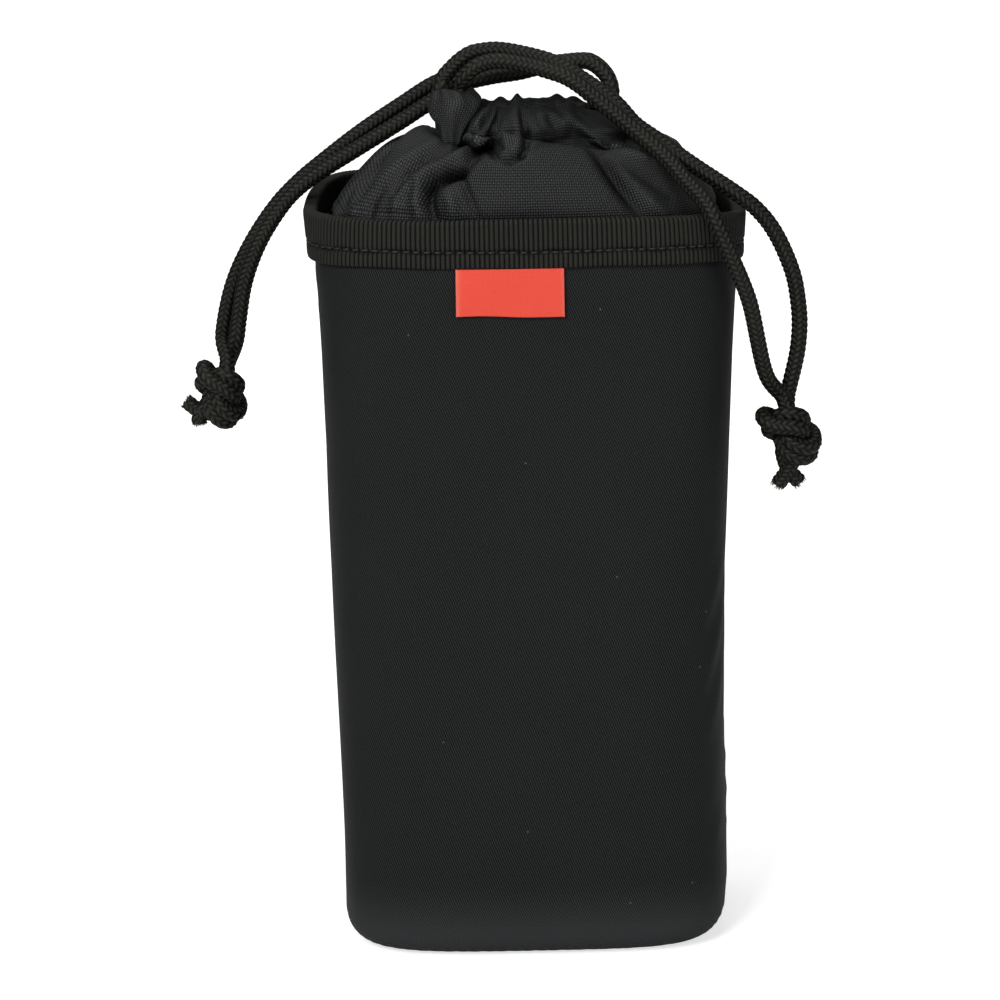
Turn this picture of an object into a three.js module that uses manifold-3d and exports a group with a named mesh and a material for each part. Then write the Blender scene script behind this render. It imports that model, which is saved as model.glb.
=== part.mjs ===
// Flash pouch: a padded fabric pouch with a drawstring hood, standing on its base.
// Millimetres, +Z up, the front faces -Y, the origin is under the middle of the base.
import * as THREE from 'three';
import { mergeVertices } from 'three/addons/utils/BufferGeometryUtils.js';
import Module from 'manifold-3d';

const wasm = await Module();
wasm.setup();

// Body of the pouch, measured over its outer cloth.
const baseWidth = 99;
const baseDepth = 66;
const rimWidth = 108;
const rimDepth = 69;
const rimHeight = 190;
const flarePower = 7;
const baseSquareness = 4.4;
const rimSquareness = 2.9;
const edgeRadius = 8;

// Thickness of each layer, and the gap kept between neighbours.
const clothThick = 0.6;
const paddingThick = 2.4;
const liningThick = 0.4;
const tapeThick = 0.7;
const hoodThick = 0.5;
const layerGap = 0.3;

// Folded tape over the rim.
const bindingDrop = 11.5;
const taperRun = 8;

// Woven label, folded, sewn in under the tape.
const labelWidth = 26;
const labelDrop = 11;
const labelThick = 0.9;
const labelCentre = -4;

// Hood: hem inside the pouch, a gathered dome, and two drawn casings on top.
const hemDepth = 20;
const mouthRise = 18.8;
const casingLeft = -12;
const casingRight = 10;
const casingCrown = 0.5;
const mouthSlit = 1.4;
const pleatPitch = 5.5;
const pleatDepth = 0.35;
const foldCount = 14;
const foldDepth = 1.9;

// Braided drawcord.
const cordDiameter = 4;
const cordSides = 8;
const knotRing = 4.3;

// Values that follow from the sizes above.
const cordRadius = cordDiameter / 2;
const cordStep = cordDiameter + layerGap;
const channelRadius = cordStep / 2 + cordRadius + layerGap;
const casingRadius = channelRadius + 3 * pleatDepth + 0.3;
const casingReach = casingRadius + pleatDepth + mouthSlit / 2;
const mouthHeight = rimHeight + mouthRise;
const paddingOut = clothThick + layerGap;
const paddingIn = paddingOut + paddingThick;
const liningOut = paddingIn + layerGap;
const liningIn = liningOut + liningThick;
const wallTop = rimHeight - tapeThick - layerGap;
const bindingLow = rimHeight - bindingDrop;
const paddingTop = bindingLow - 4;
const taperLow = paddingTop - taperRun;

function smooth(low, high, value) {
  const t = Math.min(1, Math.max(0, (value - low) / (high - low)));
  return t * t * (3 - 2 * t);
}

function superPoint(halfX, halfY, squareness, angle) {
  const c = Math.cos(angle);
  const s = Math.sin(angle);
  const power = 2 / squareness;
  const x = halfX * Math.sign(c) * Math.abs(c) ** power;
  const y = halfY * Math.sign(s) * Math.abs(s) ** power;
  return [x, y];
}

// Half sizes of the body's section at a height.
function bodySection(z) {
  const flare = Math.max(0, z / rimHeight) ** flarePower;
  return {
    halfX: (baseWidth + (rimWidth - baseWidth) * flare) / 2,
    halfY: (baseDepth + (rimDepth - baseDepth) * flare) / 2,
    squareness: baseSquareness + (rimSquareness - baseSquareness) * flare,
  };
}

function wallPoint(angle, inset, z) {
  const s = bodySection(z);
  const [x, y] = superPoint(s.halfX - inset, s.halfY - inset, s.squareness, angle);
  return new THREE.Vector3(x, y, z);
}

// The front face's y at an x, a distance out from the cloth.
function frontFace(x, z, out) {
  const s = bodySection(z);
  const share = 1 - (Math.abs(x) / (s.halfX + out)) ** s.squareness;
  return -(s.halfY + out) * share ** (1 / s.squareness);
}

function toGeometry(points, faces) {
  const geometry = new THREE.BufferGeometry();
  const values = points.flatMap((p) => [p.x, p.y, p.z]);
  geometry.setAttribute('position', new THREE.Float32BufferAttribute(values, 3));
  geometry.setIndex(faces);
  geometry.computeVertexNormals();
  return geometry;
}

// A sheet with thickness between two grids of rows and columns.
function slab(outer, inner) {
  const rows = outer.length;
  const cols = outer[0].length;
  const at = (side, r, c) => side * rows * cols + r * cols + c;
  const faces = [];
  const quad = (a, b, c, d) => faces.push(a, b, c, a, c, d);
  for (let r = 0; r < rows - 1; r += 1) {
    for (let c = 0; c < cols - 1; c += 1) {
      quad(at(0, r, c), at(0, r, c + 1), at(0, r + 1, c + 1), at(0, r + 1, c));
      quad(at(1, r, c), at(1, r + 1, c), at(1, r + 1, c + 1), at(1, r, c + 1));
    }
    quad(at(0, r, 0), at(0, r + 1, 0), at(1, r + 1, 0), at(1, r, 0));
    const last = cols - 1;
    quad(at(0, r, last), at(1, r, last), at(1, r + 1, last), at(0, r + 1, last));
  }
  for (let c = 0; c < cols - 1; c += 1) {
    const top = rows - 1;
    quad(at(0, 0, c), at(1, 0, c), at(1, 0, c + 1), at(0, 0, c + 1));
    quad(at(0, top, c), at(0, top, c + 1), at(1, top, c + 1), at(1, top, c));
  }
  return toGeometry([...outer.flat(), ...inner.flat()], faces);
}

// A loft through rings of points, joined end to end or capped.
function loft(rings, joined) {
  const count = rings[0].length;
  const points = rings.flat();
  const faces = [];
  const at = (r, c) => (r % rings.length) * count + (c % count);
  const spans = joined ? rings.length : rings.length - 1;
  for (let r = 0; r < spans; r += 1) {
    for (let c = 0; c < count; c += 1) {
      faces.push(at(r, c), at(r, c + 1), at(r + 1, c + 1));
      faces.push(at(r, c), at(r + 1, c + 1), at(r + 1, c));
    }
  }
  if (!joined) {
    const last = rings.length - 1;
    for (const r of [0, last]) {
      const middle = new THREE.Vector3();
      rings[r].forEach((p) => middle.add(p));
      points.push(middle.divideScalar(count));
      for (let c = 0; c < count; c += 1) {
        if (r === 0) {
          faces.push(points.length - 1, at(r, c + 1), at(r, c));
        } else {
          faces.push(points.length - 1, at(r, c), at(r, c + 1));
        }
      }
    }
  }
  return toGeometry(points, faces);
}

// Wall layers: profiles run from the turned-in bottom edge up to the rim.
const bottomTurn = [1.19, 0.8, 0.4, 0];

function wallProfile(depthAt, heights) {
  const rows = bottomTurn.map((turn) => {
    const radius = edgeRadius - depthAt(edgeRadius);
    return [edgeRadius - radius * Math.cos(turn), edgeRadius - radius * Math.sin(turn)];
  });
  heights.forEach((z) => rows.push([depthAt(z), z]));
  return rows;
}

const wallCols = 36;
const turn = 2 * Math.PI;
const aroundAngles = Array.from({ length: wallCols }, (_, i) => (turn * i) / wallCols);

function wallRing([inset, z]) {
  return aroundAngles.map((angle) => wallPoint(angle, inset, z));
}

function wallLayer(outDepth, inDepth, heights) {
  const out = wallProfile(outDepth, heights).map(wallRing);
  const inside = wallProfile(inDepth, heights).map(wallRing).reverse();
  return loft([...out, ...inside], true);
}

// Front and back cloth meet at the two side seams.
function clothPanel(side) {
  const start = side < 0 ? Math.PI : 0;
  const cols = wallCols / 2;
  const heights = [...[0.32, 0.63, 0.79, 0.885, 0.945].map((share) => share * rimHeight), wallTop];
  const grid = (depth) => wallProfile(() => depth, heights).map(([inset, z]) => {
    const row = [];
    for (let c = 0; c <= cols; c += 1) {
      const p = wallPoint(start + (Math.PI * c) / cols, inset, z);
      if (c === 0 || c === cols) {
        p.y = (side * layerGap) / 2;
      }
      row.push(p);
    }
    return row;
  });
  return slab(grid(0), grid(clothThick));
}

// The padding thins out below the tape, and the lining follows it to the rim.
function paddingInner(z) {
  return paddingIn - (paddingThick - 0.7) * smooth(taperLow, paddingTop, z);
}

function liningShift(z) {
  const lean = (paddingThick - 0.7) * smooth(taperLow, paddingTop, z);
  return lean + (0.7 + layerGap) * smooth(paddingTop, bindingLow, z);
}

const tapered = [0, 0.5, 1].map((t) => taperLow + taperRun * t);
const paddingHeights = [rimHeight * 0.47, rimHeight * 0.74, ...tapered];
const liningHeights = [...paddingHeights, (paddingTop + bindingLow) / 2, bindingLow, wallTop];

const wallPadding = wallLayer(() => paddingOut, paddingInner, paddingHeights);
const liningSleeve = wallLayer(
  (z) => liningOut - liningShift(z),
  (z) => liningIn - liningShift(z),
  liningHeights,
);

// Base: outer cloth, stiffening board and lining, each inside the turned-in wall.
const lowTurn = bottomTurn[0];

function turnedInset(depth) {
  return edgeRadius - (edgeRadius - depth) * Math.cos(lowTurn);
}

function plate(inset, low, high) {
  return loft([wallRing([inset, low]), wallRing([inset, high])], false);
}

const basePanel = plate(turnedInset(clothThick) + layerGap, 0, clothThick);
const boardLow = clothThick + layerGap;
const boardHigh = boardLow + paddingThick;
const baseBoard = plate(turnedInset(paddingIn) + layerGap + 0.1, boardLow, boardHigh);
const baseLiningLow = boardHigh + layerGap;
const baseLining = plate(turnedInset(liningIn) + layerGap + 0.1, baseLiningLow, baseLiningLow + liningThick);

// Tape folded over the rim: outer leg, crown, inner leg.
const legInside = clothThick + layerGap + liningThick + layerGap;
const outLeg = -layerGap - tapeThick;
const inLeg = legInside + tapeThick;
const tapeMiddle = (bindingLow + wallTop) / 2;
const rimBinding = loft(
  [
    [outLeg, bindingLow],
    [outLeg, tapeMiddle],
    [outLeg, rimHeight - tapeThick],
    [outLeg + tapeThick * 0.7, rimHeight],
    [inLeg - tapeThick * 0.7, rimHeight],
    [inLeg, rimHeight - tapeThick],
    [inLeg, tapeMiddle],
    [inLeg, bindingLow],
    [legInside, bindingLow],
    [legInside, tapeMiddle],
    [legInside, wallTop + layerGap],
    [-layerGap, wallTop + layerGap],
    [-layerGap, tapeMiddle],
    [-layerGap, bindingLow],
  ].map(wallRing),
  true,
);

// Label hanging on the front, just below the tape.
const labelTop = bindingLow - layerGap;

function labelGrid(out) {
  return [0, 0.33, 0.67, 1].map((v) => {
    const z = labelTop - labelDrop * (1 - v);
    return [-0.5, -0.25, 0, 0.25, 0.5].map((u) => {
      const x = labelCentre + labelWidth * u;
      return new THREE.Vector3(x, frontFace(x, z, out), z);
    });
  });
}

const labelTab = slab(labelGrid(layerGap + labelThick), labelGrid(layerGap));

// Casings: pleated channels along the front and the back of the drawn mouth.
function casingCentre(side, u) {
  const x = casingLeft + (casingRight - casingLeft) * u;
  const bow = 4 * u * (1 - u);
  const z = mouthHeight - casingCrown * bow;
  return new THREE.Vector3(x, side * (casingReach + casingCrown * bow), z);
}

function casing(side) {
  const length = casingRight - casingLeft;
  const steps = 4 * Math.round(length / pleatPitch);
  const ring = (i, radiusAt) => {
    const middle = casingCentre(side, i / steps);
    return Array.from({ length: 12 }, (_, k) => {
      const a = (turn * k) / 12;
      const r = radiusAt(i, a);
      return new THREE.Vector3(middle.x, middle.y + r * Math.cos(a), middle.z + r * Math.sin(a));
    });
  };
  const pleated = (i) => casingRadius + pleatDepth * Math.cos((turn * i) / 4);
  const order = Array.from({ length: steps + 1 }, (_, i) => i);
  const out = order.map((i) => ring(i, pleated));
  const channel = (i) => {
    const flare = Math.abs((2 * i) / steps - 1) ** 4 * pleatDepth;
    return (channelRadius + flare) / Math.cos(Math.PI / 12);
  };
  const inside = [1, 0.75, 0.5, 0.25, 0].map((u) => ring(steps * u, channel));
  return loft([...out, ...inside], true);
}

// Cords: each is one loop round both casings, with both of its ends out at one side.
const lowRun = -cordStep / 2;
const highRun = cordStep / 2;

function casingRun(side, lift, shares) {
  return shares.map((u) => {
    const p = casingCentre(side, u);
    return [p.x, p.y, p.z + lift];
  });
}

const toRight = [0, 0.25, 0.5, 0.75, 1];
const toLeft = [1, 0.75, 0.5, 0.25, 0];
const turnReach = casingReach;

function fromMouth(points) {
  return points.map(([x, y, z]) => [x, y, mouthHeight + z]);
}

function cord(points, steps) {
  const route = new THREE.CatmullRomCurve3(points.map((p) => new THREE.Vector3(...p)));
  const corners = Array.from({ length: cordSides }, (_, k) => {
    const a = (turn * k) / cordSides;
    return new THREE.Vector2(cordRadius * Math.cos(a), cordRadius * Math.sin(a));
  });
  return new THREE.ExtrudeGeometry(new THREE.Shape(corners), { steps, extrudePath: route });
}

const leftExit = [[-15.6, -2.1, 7.4], [-20, -1.8, 7.4]];
const rightExit = [[22, 1.4, 5.6], [22, 5.9, 5.6]];

const rightLoop = [
  ...fromMouth([leftExit[0], [-15.6, -2.1, 5.2], [-14.9, -4.6, 3.3]]),
  ...casingRun(-1, highRun, toRight),
  ...fromMouth([[casingRight + turnReach * 0.8, 0, highRun]]),
  ...casingRun(1, highRun, toLeft),
  ...fromMouth([[-16.8, 5.2, 2.1], [-19.7, 1.6, 2.6], [-20, -1.7, 5.2], leftExit[1]]),
];
const leftLoop = [
  ...fromMouth([rightExit[0], [22, 1.4, 3.4], [20.9, -2, 0.2], [15.8, -5.8, -1.9]]),
  ...casingRun(-1, lowRun, toLeft),
  ...fromMouth([[casingLeft - turnReach * 0.9, 0, lowRun]]),
  ...casingRun(1, lowRun, toRight),
  ...fromMouth([[15.8, 7.2, -1.9], [20.8, 7, -0.2], [22, 5.9, 3.2], rightExit[1]]),
];

// Free strands, from the mouths over the top and down to the knots.
const rise = layerGap;
const rightInner = fromMouth([
  [leftExit[0][0], leftExit[0][1], leftExit[0][2] + rise], [-15.6, -2.1, 8.9], [-15.2, -3, 10.3],
  [-13.5, -4, 12.2], [-11.3, -4.2, 14], [-8.4, -4.1, 15], [-5.4, -4.5, 15.3], [1.9, -5.5, 14.1],
  [6.3, -6.9, 13], [10.4, -8.4, 11.7], [14, -9.8, 9.6], [17.5, -11.2, 6.8], [25.2, -14.4, 0.9],
  [34.4, -19, -6.8], [39, -23, -11.9], [43.5, -28, -16.4], [45.8, -30.6, -20.6], [49.8, -31, -29.8],
  [53.8, -29.6, -40], [58.8, -25.2, -60.5], [60.2, -23.7, -67.2],
]);
const rightOuter = fromMouth([
  [leftExit[1][0], leftExit[1][1], leftExit[1][2] + rise], [-20, -1.8, 8.9], [-19.6, -1, 10.6],
  [-17, -0.4, 13.5], [-14.7, -0.4, 15.5], [-12.3, -0.1, 16.8], [-9.5, 0.1, 17.3], [-6.6, 0.1, 17.5],
  [-2.9, -0.1, 17.1], [4.4, -1.2, 15.5], [8.1, -2.2, 14.3], [14.1, -4.4, 11], [22.8, -7.8, 5],
  [27.3, -9.8, 0.2], [32.1, -11.6, -3.1], [41.9, -15.2, -9.7], [51.1, -19, -15.5], [56, -19.2, -19.3],
  [60.6, -18.8, -25.1], [65.3, -18, -35.7], [66.7, -17.8, -42.9], [67.1, -18, -48.7],
  [66.5, -18.6, -55.5], [64.6, -20.5, -67.6],
]);
const leftFront = fromMouth([
  [rightExit[0][0], rightExit[0][1], rightExit[0][2] + rise], [22, 1.4, 7.2], [21.2, 1.9, 9.7],
  [19.8, 2.6, 11.4], [18.4, 3.2, 12.6], [16.6, 3.8, 13.5], [14.4, 4.2, 13.8], [10.9, 4.6, 13.4],
  [5.7, 5, 12.6], [-0.5, 5.2, 11.1], [-7.9, 5.4, 10], [-14.6, 5.3, 8.4], [-21.1, 5.1, 5],
  [-30.4, 4.8, -0.8], [-40.5, 4.2, -6.8], [-50.6, 3.2, -12.8], [-55.6, 2.7, -16.3], [-59.4, 2.4, -20],
  [-65.7, 1.5, -29.3], [-69.8, 1, -39.3], [-71.8, 0.9, -49.5], [-72.6, 0.9, -54.6], [-74.4, 0.9, -61.4],
]);
const leftBack = fromMouth([
  [rightExit[1][0], rightExit[1][1], rightExit[1][2] + rise], [22, 5.9, 7.2], [21.3, 6.7, 9.3],
  [20, 7.3, 11.1], [18.5, 7.9, 12.4], [16.7, 8.4, 13.3], [14.5, 8.6, 13.4], [11, 9, 13.1],
  [5.8, 9.4, 12.4], [-0.4, 9.6, 11.3], [-7.9, 9.8, 10.6], [-14.6, 9.7, 10], [-21.1, 9.5, 8.4],
  [-30.5, 9.2, 2.8], [-40.6, 8.6, -3.7], [-50.7, 7.8, -11.2], [-55.8, 7.4, -15.3], [-61.5, 6.8, -21],
  [-68, 5.8, -30.1], [-73, 5.1, -40.1], [-75.7, 4.8, -50.2], [-76.3, 4.8, -55.4], [-77, 5, -61.4],
]);

// Two-strand knots, as rings wrapped over a core.
function toManifold(geometry) {
  geometry.deleteAttribute('normal');
  geometry.deleteAttribute('uv');
  const merged = mergeVertices(geometry, 1e-4);
  return new wasm.Manifold(new wasm.Mesh({
    numProp: 3,
    vertProperties: new Float32Array(merged.attributes.position.array),
    triVerts: new Uint32Array(merged.index.array),
  }));
}

function fromManifold(solid) {
  const mesh = solid.getMesh();
  const geometry = new THREE.BufferGeometry();
  geometry.setAttribute('position', new THREE.BufferAttribute(Float32Array.from(mesh.vertProperties), 3));
  geometry.setIndex(Array.from(mesh.triVerts));
  geometry.computeVertexNormals();
  return geometry;
}

function knot(middle, lean) {
  const wraps = [[0.55, 0.2, 0], [-0.6, -0.3, 0.5], [1.5, 0.5, 0.4]];
  let solid = toManifold(new THREE.SphereGeometry(knotRing, 10, 6));
  wraps.forEach(([rx, ry, rz]) => {
    const ring = new THREE.TorusGeometry(knotRing, cordRadius * 1.15, 7, 14);
    ring.rotateX(Math.PI / 2);
    ring.rotateX(rx);
    ring.rotateY(ry);
    ring.rotateZ(rz);
    solid = solid.add(toManifold(ring));
  });
  const geometry = fromManifold(solid);
  geometry.rotateY(lean);
  geometry.translate(middle.x, middle.y, middle.z);
  return geometry;
}

const knotDrop = knotRing + cordRadius * 1.15 + layerGap;

// A knot sits up between strands that come in apart.
function under(first, second, seat) {
  const a = new THREE.Vector3(...first[first.length - 1]);
  const b = new THREE.Vector3(...second[second.length - 1]);
  const middle = a.add(b).multiplyScalar(0.5);
  middle.z -= knotDrop - seat;
  return middle;
}

const rightKnotAt = under(rightInner, rightOuter, 0.9);
const leftKnotAt = under(leftFront, leftBack, 0);

function tail(middle, out, length) {
  const direction = new THREE.Vector3(...out).normalize();
  const points = [0, 0.4, 0.75, 1].map((t) => {
    const p = direction.clone().multiplyScalar(knotDrop - 2 * layerGap + length * t);
    return [middle.x + p.x, middle.y + p.y, middle.z + p.z - 0.6 * t * t];
  });
  return cord(points, 4);
}

// Hood cloth: from the hem on the lining, up through the rim and in to the casings.
const hemLow = rimHeight - hemDepth;
const hemSection = bodySection(hemLow);
const hemX = hemSection.halfX - liningIn - layerGap - hoodThick / 2;
const hemY = hemSection.halfY - liningIn - layerGap - hoodThick / 2;
const neckX = 26;
const neckY = casingReach + casingCrown + (casingRadius + pleatDepth) * 0.72;
const neckHeight = mouthHeight - casingCrown - (casingRadius + pleatDepth) * 0.8;
const domeRise = neckHeight - rimHeight;
const sideRise = 3.4;
// Each row: height, share of the way in from hem to neck, squareness, fold depth.
const hoodRows = [
  [hemLow, 0, 3.2, 0],
  [rimHeight - 10, 0.01, 3, 0],
  [rimHeight - 2, 0.03, 2.8, 0.2],
  [rimHeight + domeRise * 0.22, 0.16, 2.7, 0.55],
  [rimHeight + domeRise * 0.48, 0.38, 2.7, 0.9],
  [rimHeight + domeRise * 0.7, 0.62, 2.8, 1],
  [rimHeight + domeRise * 0.88, 0.83, 3, 0.6],
  [neckHeight, 1, 3.6, 0],
];

function hoodPanel(side) {
  const start = side < 0 ? Math.PI : 0;
  const cols = 2 * foldCount;
  const point = (row, c, out) => {
    const [z, share, squareness, fold] = hoodRows[row];
    const angle = start + (Math.PI * c) / cols;
    const wave = foldDepth * fold * Math.cos(foldCount * angle) * Math.abs(Math.sin(angle)) ** 0.3;
    const reach = wave + out;
    const halfX = hemX + (neckX - hemX) * share + reach;
    const halfY = hemY + (neckY - hemY) * share + reach;
    const [x, y] = superPoint(halfX, halfY, squareness, angle);
    const lift = sideRise * share * Math.abs(Math.cos(angle)) ** 3;
    const p = new THREE.Vector3(x, y, z + lift + out * share);
    if (c === 0 || c === cols) {
      p.y = (side * layerGap) / 2;
    }
    return p;
  };
  const grid = (out) => hoodRows.map((_, r) => Array.from({ length: cols + 1 }, (__, c) => point(r, c, out)));
  return slab(grid(hoodThick / 2), grid(-hoodThick / 2));
}

// Short cloth outlets round each pair of cord ends.
function outlet(exits, height) {
  const middle = [(exits[0][0] + exits[1][0]) / 2, (exits[0][1] + exits[1][1]) / 2];
  const along = [Math.abs(exits[1][0] - exits[0][0]) / 2, Math.abs(exits[1][1] - exits[0][1]) / 2];
  const top = mouthHeight + exits[0][2];
  const ring = (grow, z) => Array.from({ length: 16 }, (_, k) => {
    const a = (turn * (k + 0.5)) / 16;
    const x = middle[0] + along[0] * Math.sign(Math.cos(a)) + (cordRadius + grow) * Math.cos(a);
    const y = middle[1] + along[1] * Math.sign(Math.sin(a)) + (cordRadius + grow) * Math.sin(a);
    return new THREE.Vector3(x, y, z);
  });
  const free = layerGap + 0.3;
  const low = top - height;
  const wall = free + clothThick;
  return loft([ring(wall, low), ring(wall, top), ring(free, top), ring(free, low)], true);
}

const outletHeight = 1.8;

const part = new THREE.Group();
part.name = 'flash_pouch';

function place(name, geometry, color, roughness = 0.9) {
  const mesh = new THREE.Mesh(geometry, new THREE.MeshStandardMaterial({ color, roughness }));
  mesh.name = name;
  part.add(mesh);
}

const twill = 0x232526;
const tape = 0x262622;
const hoodCloth = 0x303233;
const liningCloth = 0x1b1b1c;
const padding = 0x3a3a3c;
const braid = 0x2a2a26;
const labelRed = 0xc8372b;

place('front_panel', clothPanel(-1), twill);
place('back_panel', clothPanel(1), twill);
place('wall_padding', wallPadding, padding);
place('lining_sleeve', liningSleeve, liningCloth);
place('base_panel', basePanel, twill);
place('base_board', baseBoard, padding);
place('base_lining', baseLining, liningCloth);
place('rim_binding', rimBinding, tape);
place('label_tab', labelTab, labelRed, 0.6);
place('hood_front_panel', hoodPanel(-1), hoodCloth);
place('hood_back_panel', hoodPanel(1), hoodCloth);
place('casing_front', casing(-1), hoodCloth);
place('casing_back', casing(1), hoodCloth);
place('left_outlet', outlet(leftExit, outletHeight), hoodCloth);
place('right_outlet', outlet(rightExit, outletHeight), hoodCloth);
place('left_cord_loop', cord(leftLoop, 34), braid);
place('right_cord_loop', cord(rightLoop, 34), braid);
place('left_strand_front', cord(leftFront, 32), braid);
place('left_strand_back', cord(leftBack, 32), braid);
place('left_knot', knot(leftKnotAt, 0.3), braid);
place('left_tail_side', tail(leftKnotAt, [-1, 0, -0.15], 5), braid);
place('left_tail_down', tail(leftKnotAt, [-0.45, -0.2, -1], 6), braid);
place('right_strand_inner', cord(rightInner, 32), braid);
place('right_strand_outer', cord(rightOuter, 32), braid);
place('right_knot', knot(rightKnotAt, -0.4), braid);
place('right_tail_left', tail(rightKnotAt, [-0.32, 0, -1], 6), braid);
place('right_tail_right', tail(rightKnotAt, [0.42, 0, -1], 6), braid);

export default part;
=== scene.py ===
from math import pi, sin, cos, radians
import bpy
import numpy as np
from mathutils import Vector, Matrix


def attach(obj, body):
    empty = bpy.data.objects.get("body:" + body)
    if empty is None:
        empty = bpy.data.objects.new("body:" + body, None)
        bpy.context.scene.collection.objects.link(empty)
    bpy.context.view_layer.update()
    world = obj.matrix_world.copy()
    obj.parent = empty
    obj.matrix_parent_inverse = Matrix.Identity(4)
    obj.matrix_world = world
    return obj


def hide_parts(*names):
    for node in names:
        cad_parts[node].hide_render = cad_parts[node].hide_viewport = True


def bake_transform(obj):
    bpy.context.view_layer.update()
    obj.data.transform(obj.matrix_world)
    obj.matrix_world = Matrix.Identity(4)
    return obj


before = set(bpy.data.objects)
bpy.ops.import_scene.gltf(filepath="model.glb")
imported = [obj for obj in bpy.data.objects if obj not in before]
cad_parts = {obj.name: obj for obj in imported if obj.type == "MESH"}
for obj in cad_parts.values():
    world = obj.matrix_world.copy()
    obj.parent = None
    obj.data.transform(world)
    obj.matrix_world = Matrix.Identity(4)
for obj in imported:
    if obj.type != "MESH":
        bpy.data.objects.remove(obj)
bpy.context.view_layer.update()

scene = bpy.context.scene
scene.view_settings.view_transform = "Standard"
mm = 0.001
print("frame loaded,", len(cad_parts), "nodes")


# camera at the picture's viewing angle
viewpoint = {
    "focus": (-7.1, 0.0, 111.8),   # mm
    "distance": 900.0,
    "toMouth": 866.0,              # to the mouth of the hood
    "elevation": 15.0,
    "roll": 0.9,
    "focalPixels": 3545.0,
    "picture": 1000.0,
    "sensor": 36.0,
    "clip": 0.01,
}


def makeCamera():
    e, r = radians(viewpoint["elevation"]), radians(viewpoint["roll"])
    right, up, back = Vector((1, 0, 0)), Vector((0, sin(e), cos(e))), Vector((0, -cos(e), sin(e)))
    turnedRight = right * cos(r) - up * sin(r)
    turnedUp = right * sin(r) + up * cos(r)
    place = (Vector(viewpoint["focus"]) + back * viewpoint["distance"]) * mm
    camera = bpy.data.cameras.new("camera")
    camera.sensor_width = viewpoint["sensor"]
    camera.lens = viewpoint["focalPixels"] / viewpoint["picture"] * viewpoint["sensor"]
    camera.clip_start = viewpoint["clip"]
    holder = bpy.data.objects.new("camera", camera)
    turned = Matrix((turnedRight, turnedUp, back)).transposed().to_4x4()
    holder.matrix_world = Matrix.Translation(place) @ turned
    scene.collection.objects.link(holder)
    scene.camera = holder


makeCamera()
print("camera placed")


# small helpers for meshes
def makePiece(name, points, faces):
    mesh = bpy.data.meshes.new(name)
    mesh.from_pydata((np.asarray(points, float) * mm).tolist(), [], faces)
    mesh.polygons.foreach_set("use_smooth", [True] * len(mesh.polygons))
    mesh.update()
    piece = bpy.data.objects.new(name, mesh)
    scene.collection.objects.link(piece)
    return piece


def gridFaces(rows, cols, closed):
    last = cols if closed else cols - 1
    r, c = np.meshgrid(np.arange(rows - 1), np.arange(last), indexing="ij")
    a = (r * cols + c).ravel()
    b = (r * cols + (c + 1) % cols).ravel()
    return np.stack([a, b, b + cols, a + cols], 1).tolist()


def setUv(piece, flat):
    # flat: one (u, v) in mm for each vertex, or for each face corner
    mesh = piece.data
    layer = mesh.uv_layers.new(name="cloth")
    flat = np.asarray(flat, float)
    if len(flat) != len(mesh.loops):
        index = np.empty(len(mesh.loops), dtype=np.int64)
        mesh.loops.foreach_get("vertex_index", index)
        flat = flat[index]
    layer.data.foreach_set("uv", flat.ravel())


def setShade(piece, name, values):
    layer = piece.data.attributes.new(name, "FLOAT", "POINT")
    layer.data.foreach_set("value", np.asarray(values, float).ravel())


def gridUv(rows, cols, uRow, vRow, closed):
    # face-corner uv of a grid, so that the last column of a closed ring doesn't fold back
    last = cols if closed else cols - 1
    out = []
    for r in range(rows - 1):
        u0, u1, v0, v1 = uRow[r], uRow[r + 1], vRow[r], vRow[r + 1]
        for c in range(last):
            d = (c + 1) % cols
            out += [(u0[c], v0[c]), (u0[c + 1], v0[d]), (u1[c + 1], v1[d]), (u1[c], v1[c])]
    return out


def smoothStep(low, high, value):
    t = np.clip((np.asarray(value, float) - low) / (high - low), 0, 1)
    return t * t * (3 - 2 * t)


def bell(off, width):
    return np.exp(-((off / width) ** 2))


def squaredRing(halfX, halfY, power, samples):
    # an oblong with round corners, from its right end by the back, and the distance along it
    fine = np.linspace(0, 2 * pi, samples + 1)
    c, s = np.cos(fine), np.sin(fine)
    x = halfX * np.sign(c) * np.abs(c) ** power
    y = halfY * np.sign(s) * np.abs(s) ** power
    return x, y, np.concatenate([[0], np.cumsum(np.hypot(np.diff(x), np.diff(y)))])


def measured(line):
    return np.concatenate([[0], np.cumsum(np.linalg.norm(np.diff(line, axis=0), axis=1))])


def evenly(line, count):
    d = measured(line)
    at = np.linspace(0, d[-1], count)
    return np.stack([np.interp(at, d, line[:, k]) for k in range(line.shape[1])], 1)


def throughPoints(points, step, perSpan=40):
    # smooth line through route points, with even spacing
    p = np.asarray(points, float)
    p = np.vstack([2 * p[0] - p[1], p, 2 * p[-1] - p[-2]])
    t = np.linspace(0, 1, perSpan, endpoint=False)[:, None]
    out = []
    for k in range(1, len(p) - 2):
        a, b, c, d = p[k - 1], p[k], p[k + 1], p[k + 2]
        ta, tb, tc = (np.linalg.norm(q) ** 0.5 for q in (b - a, c - b, d - c))
        m0 = ((b - a) / ta - (c - a) / (ta + tb) + (c - b) / tb) * tb
        m1 = ((c - b) / tb - (d - b) / (tb + tc) + (d - c) / tc) * tb
        start, end = b * (2 * t**3 - 3 * t**2 + 1), c * (3 * t**2 - 2 * t**3)
        out.append(start + m0 * (t**3 - 2 * t**2 + t) + end + m1 * (t**3 - t**2))
    line = np.vstack(out + [p[-2:-1]])
    return evenly(line, max(2, int(round(measured(line)[-1] / step)) + 1))


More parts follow.
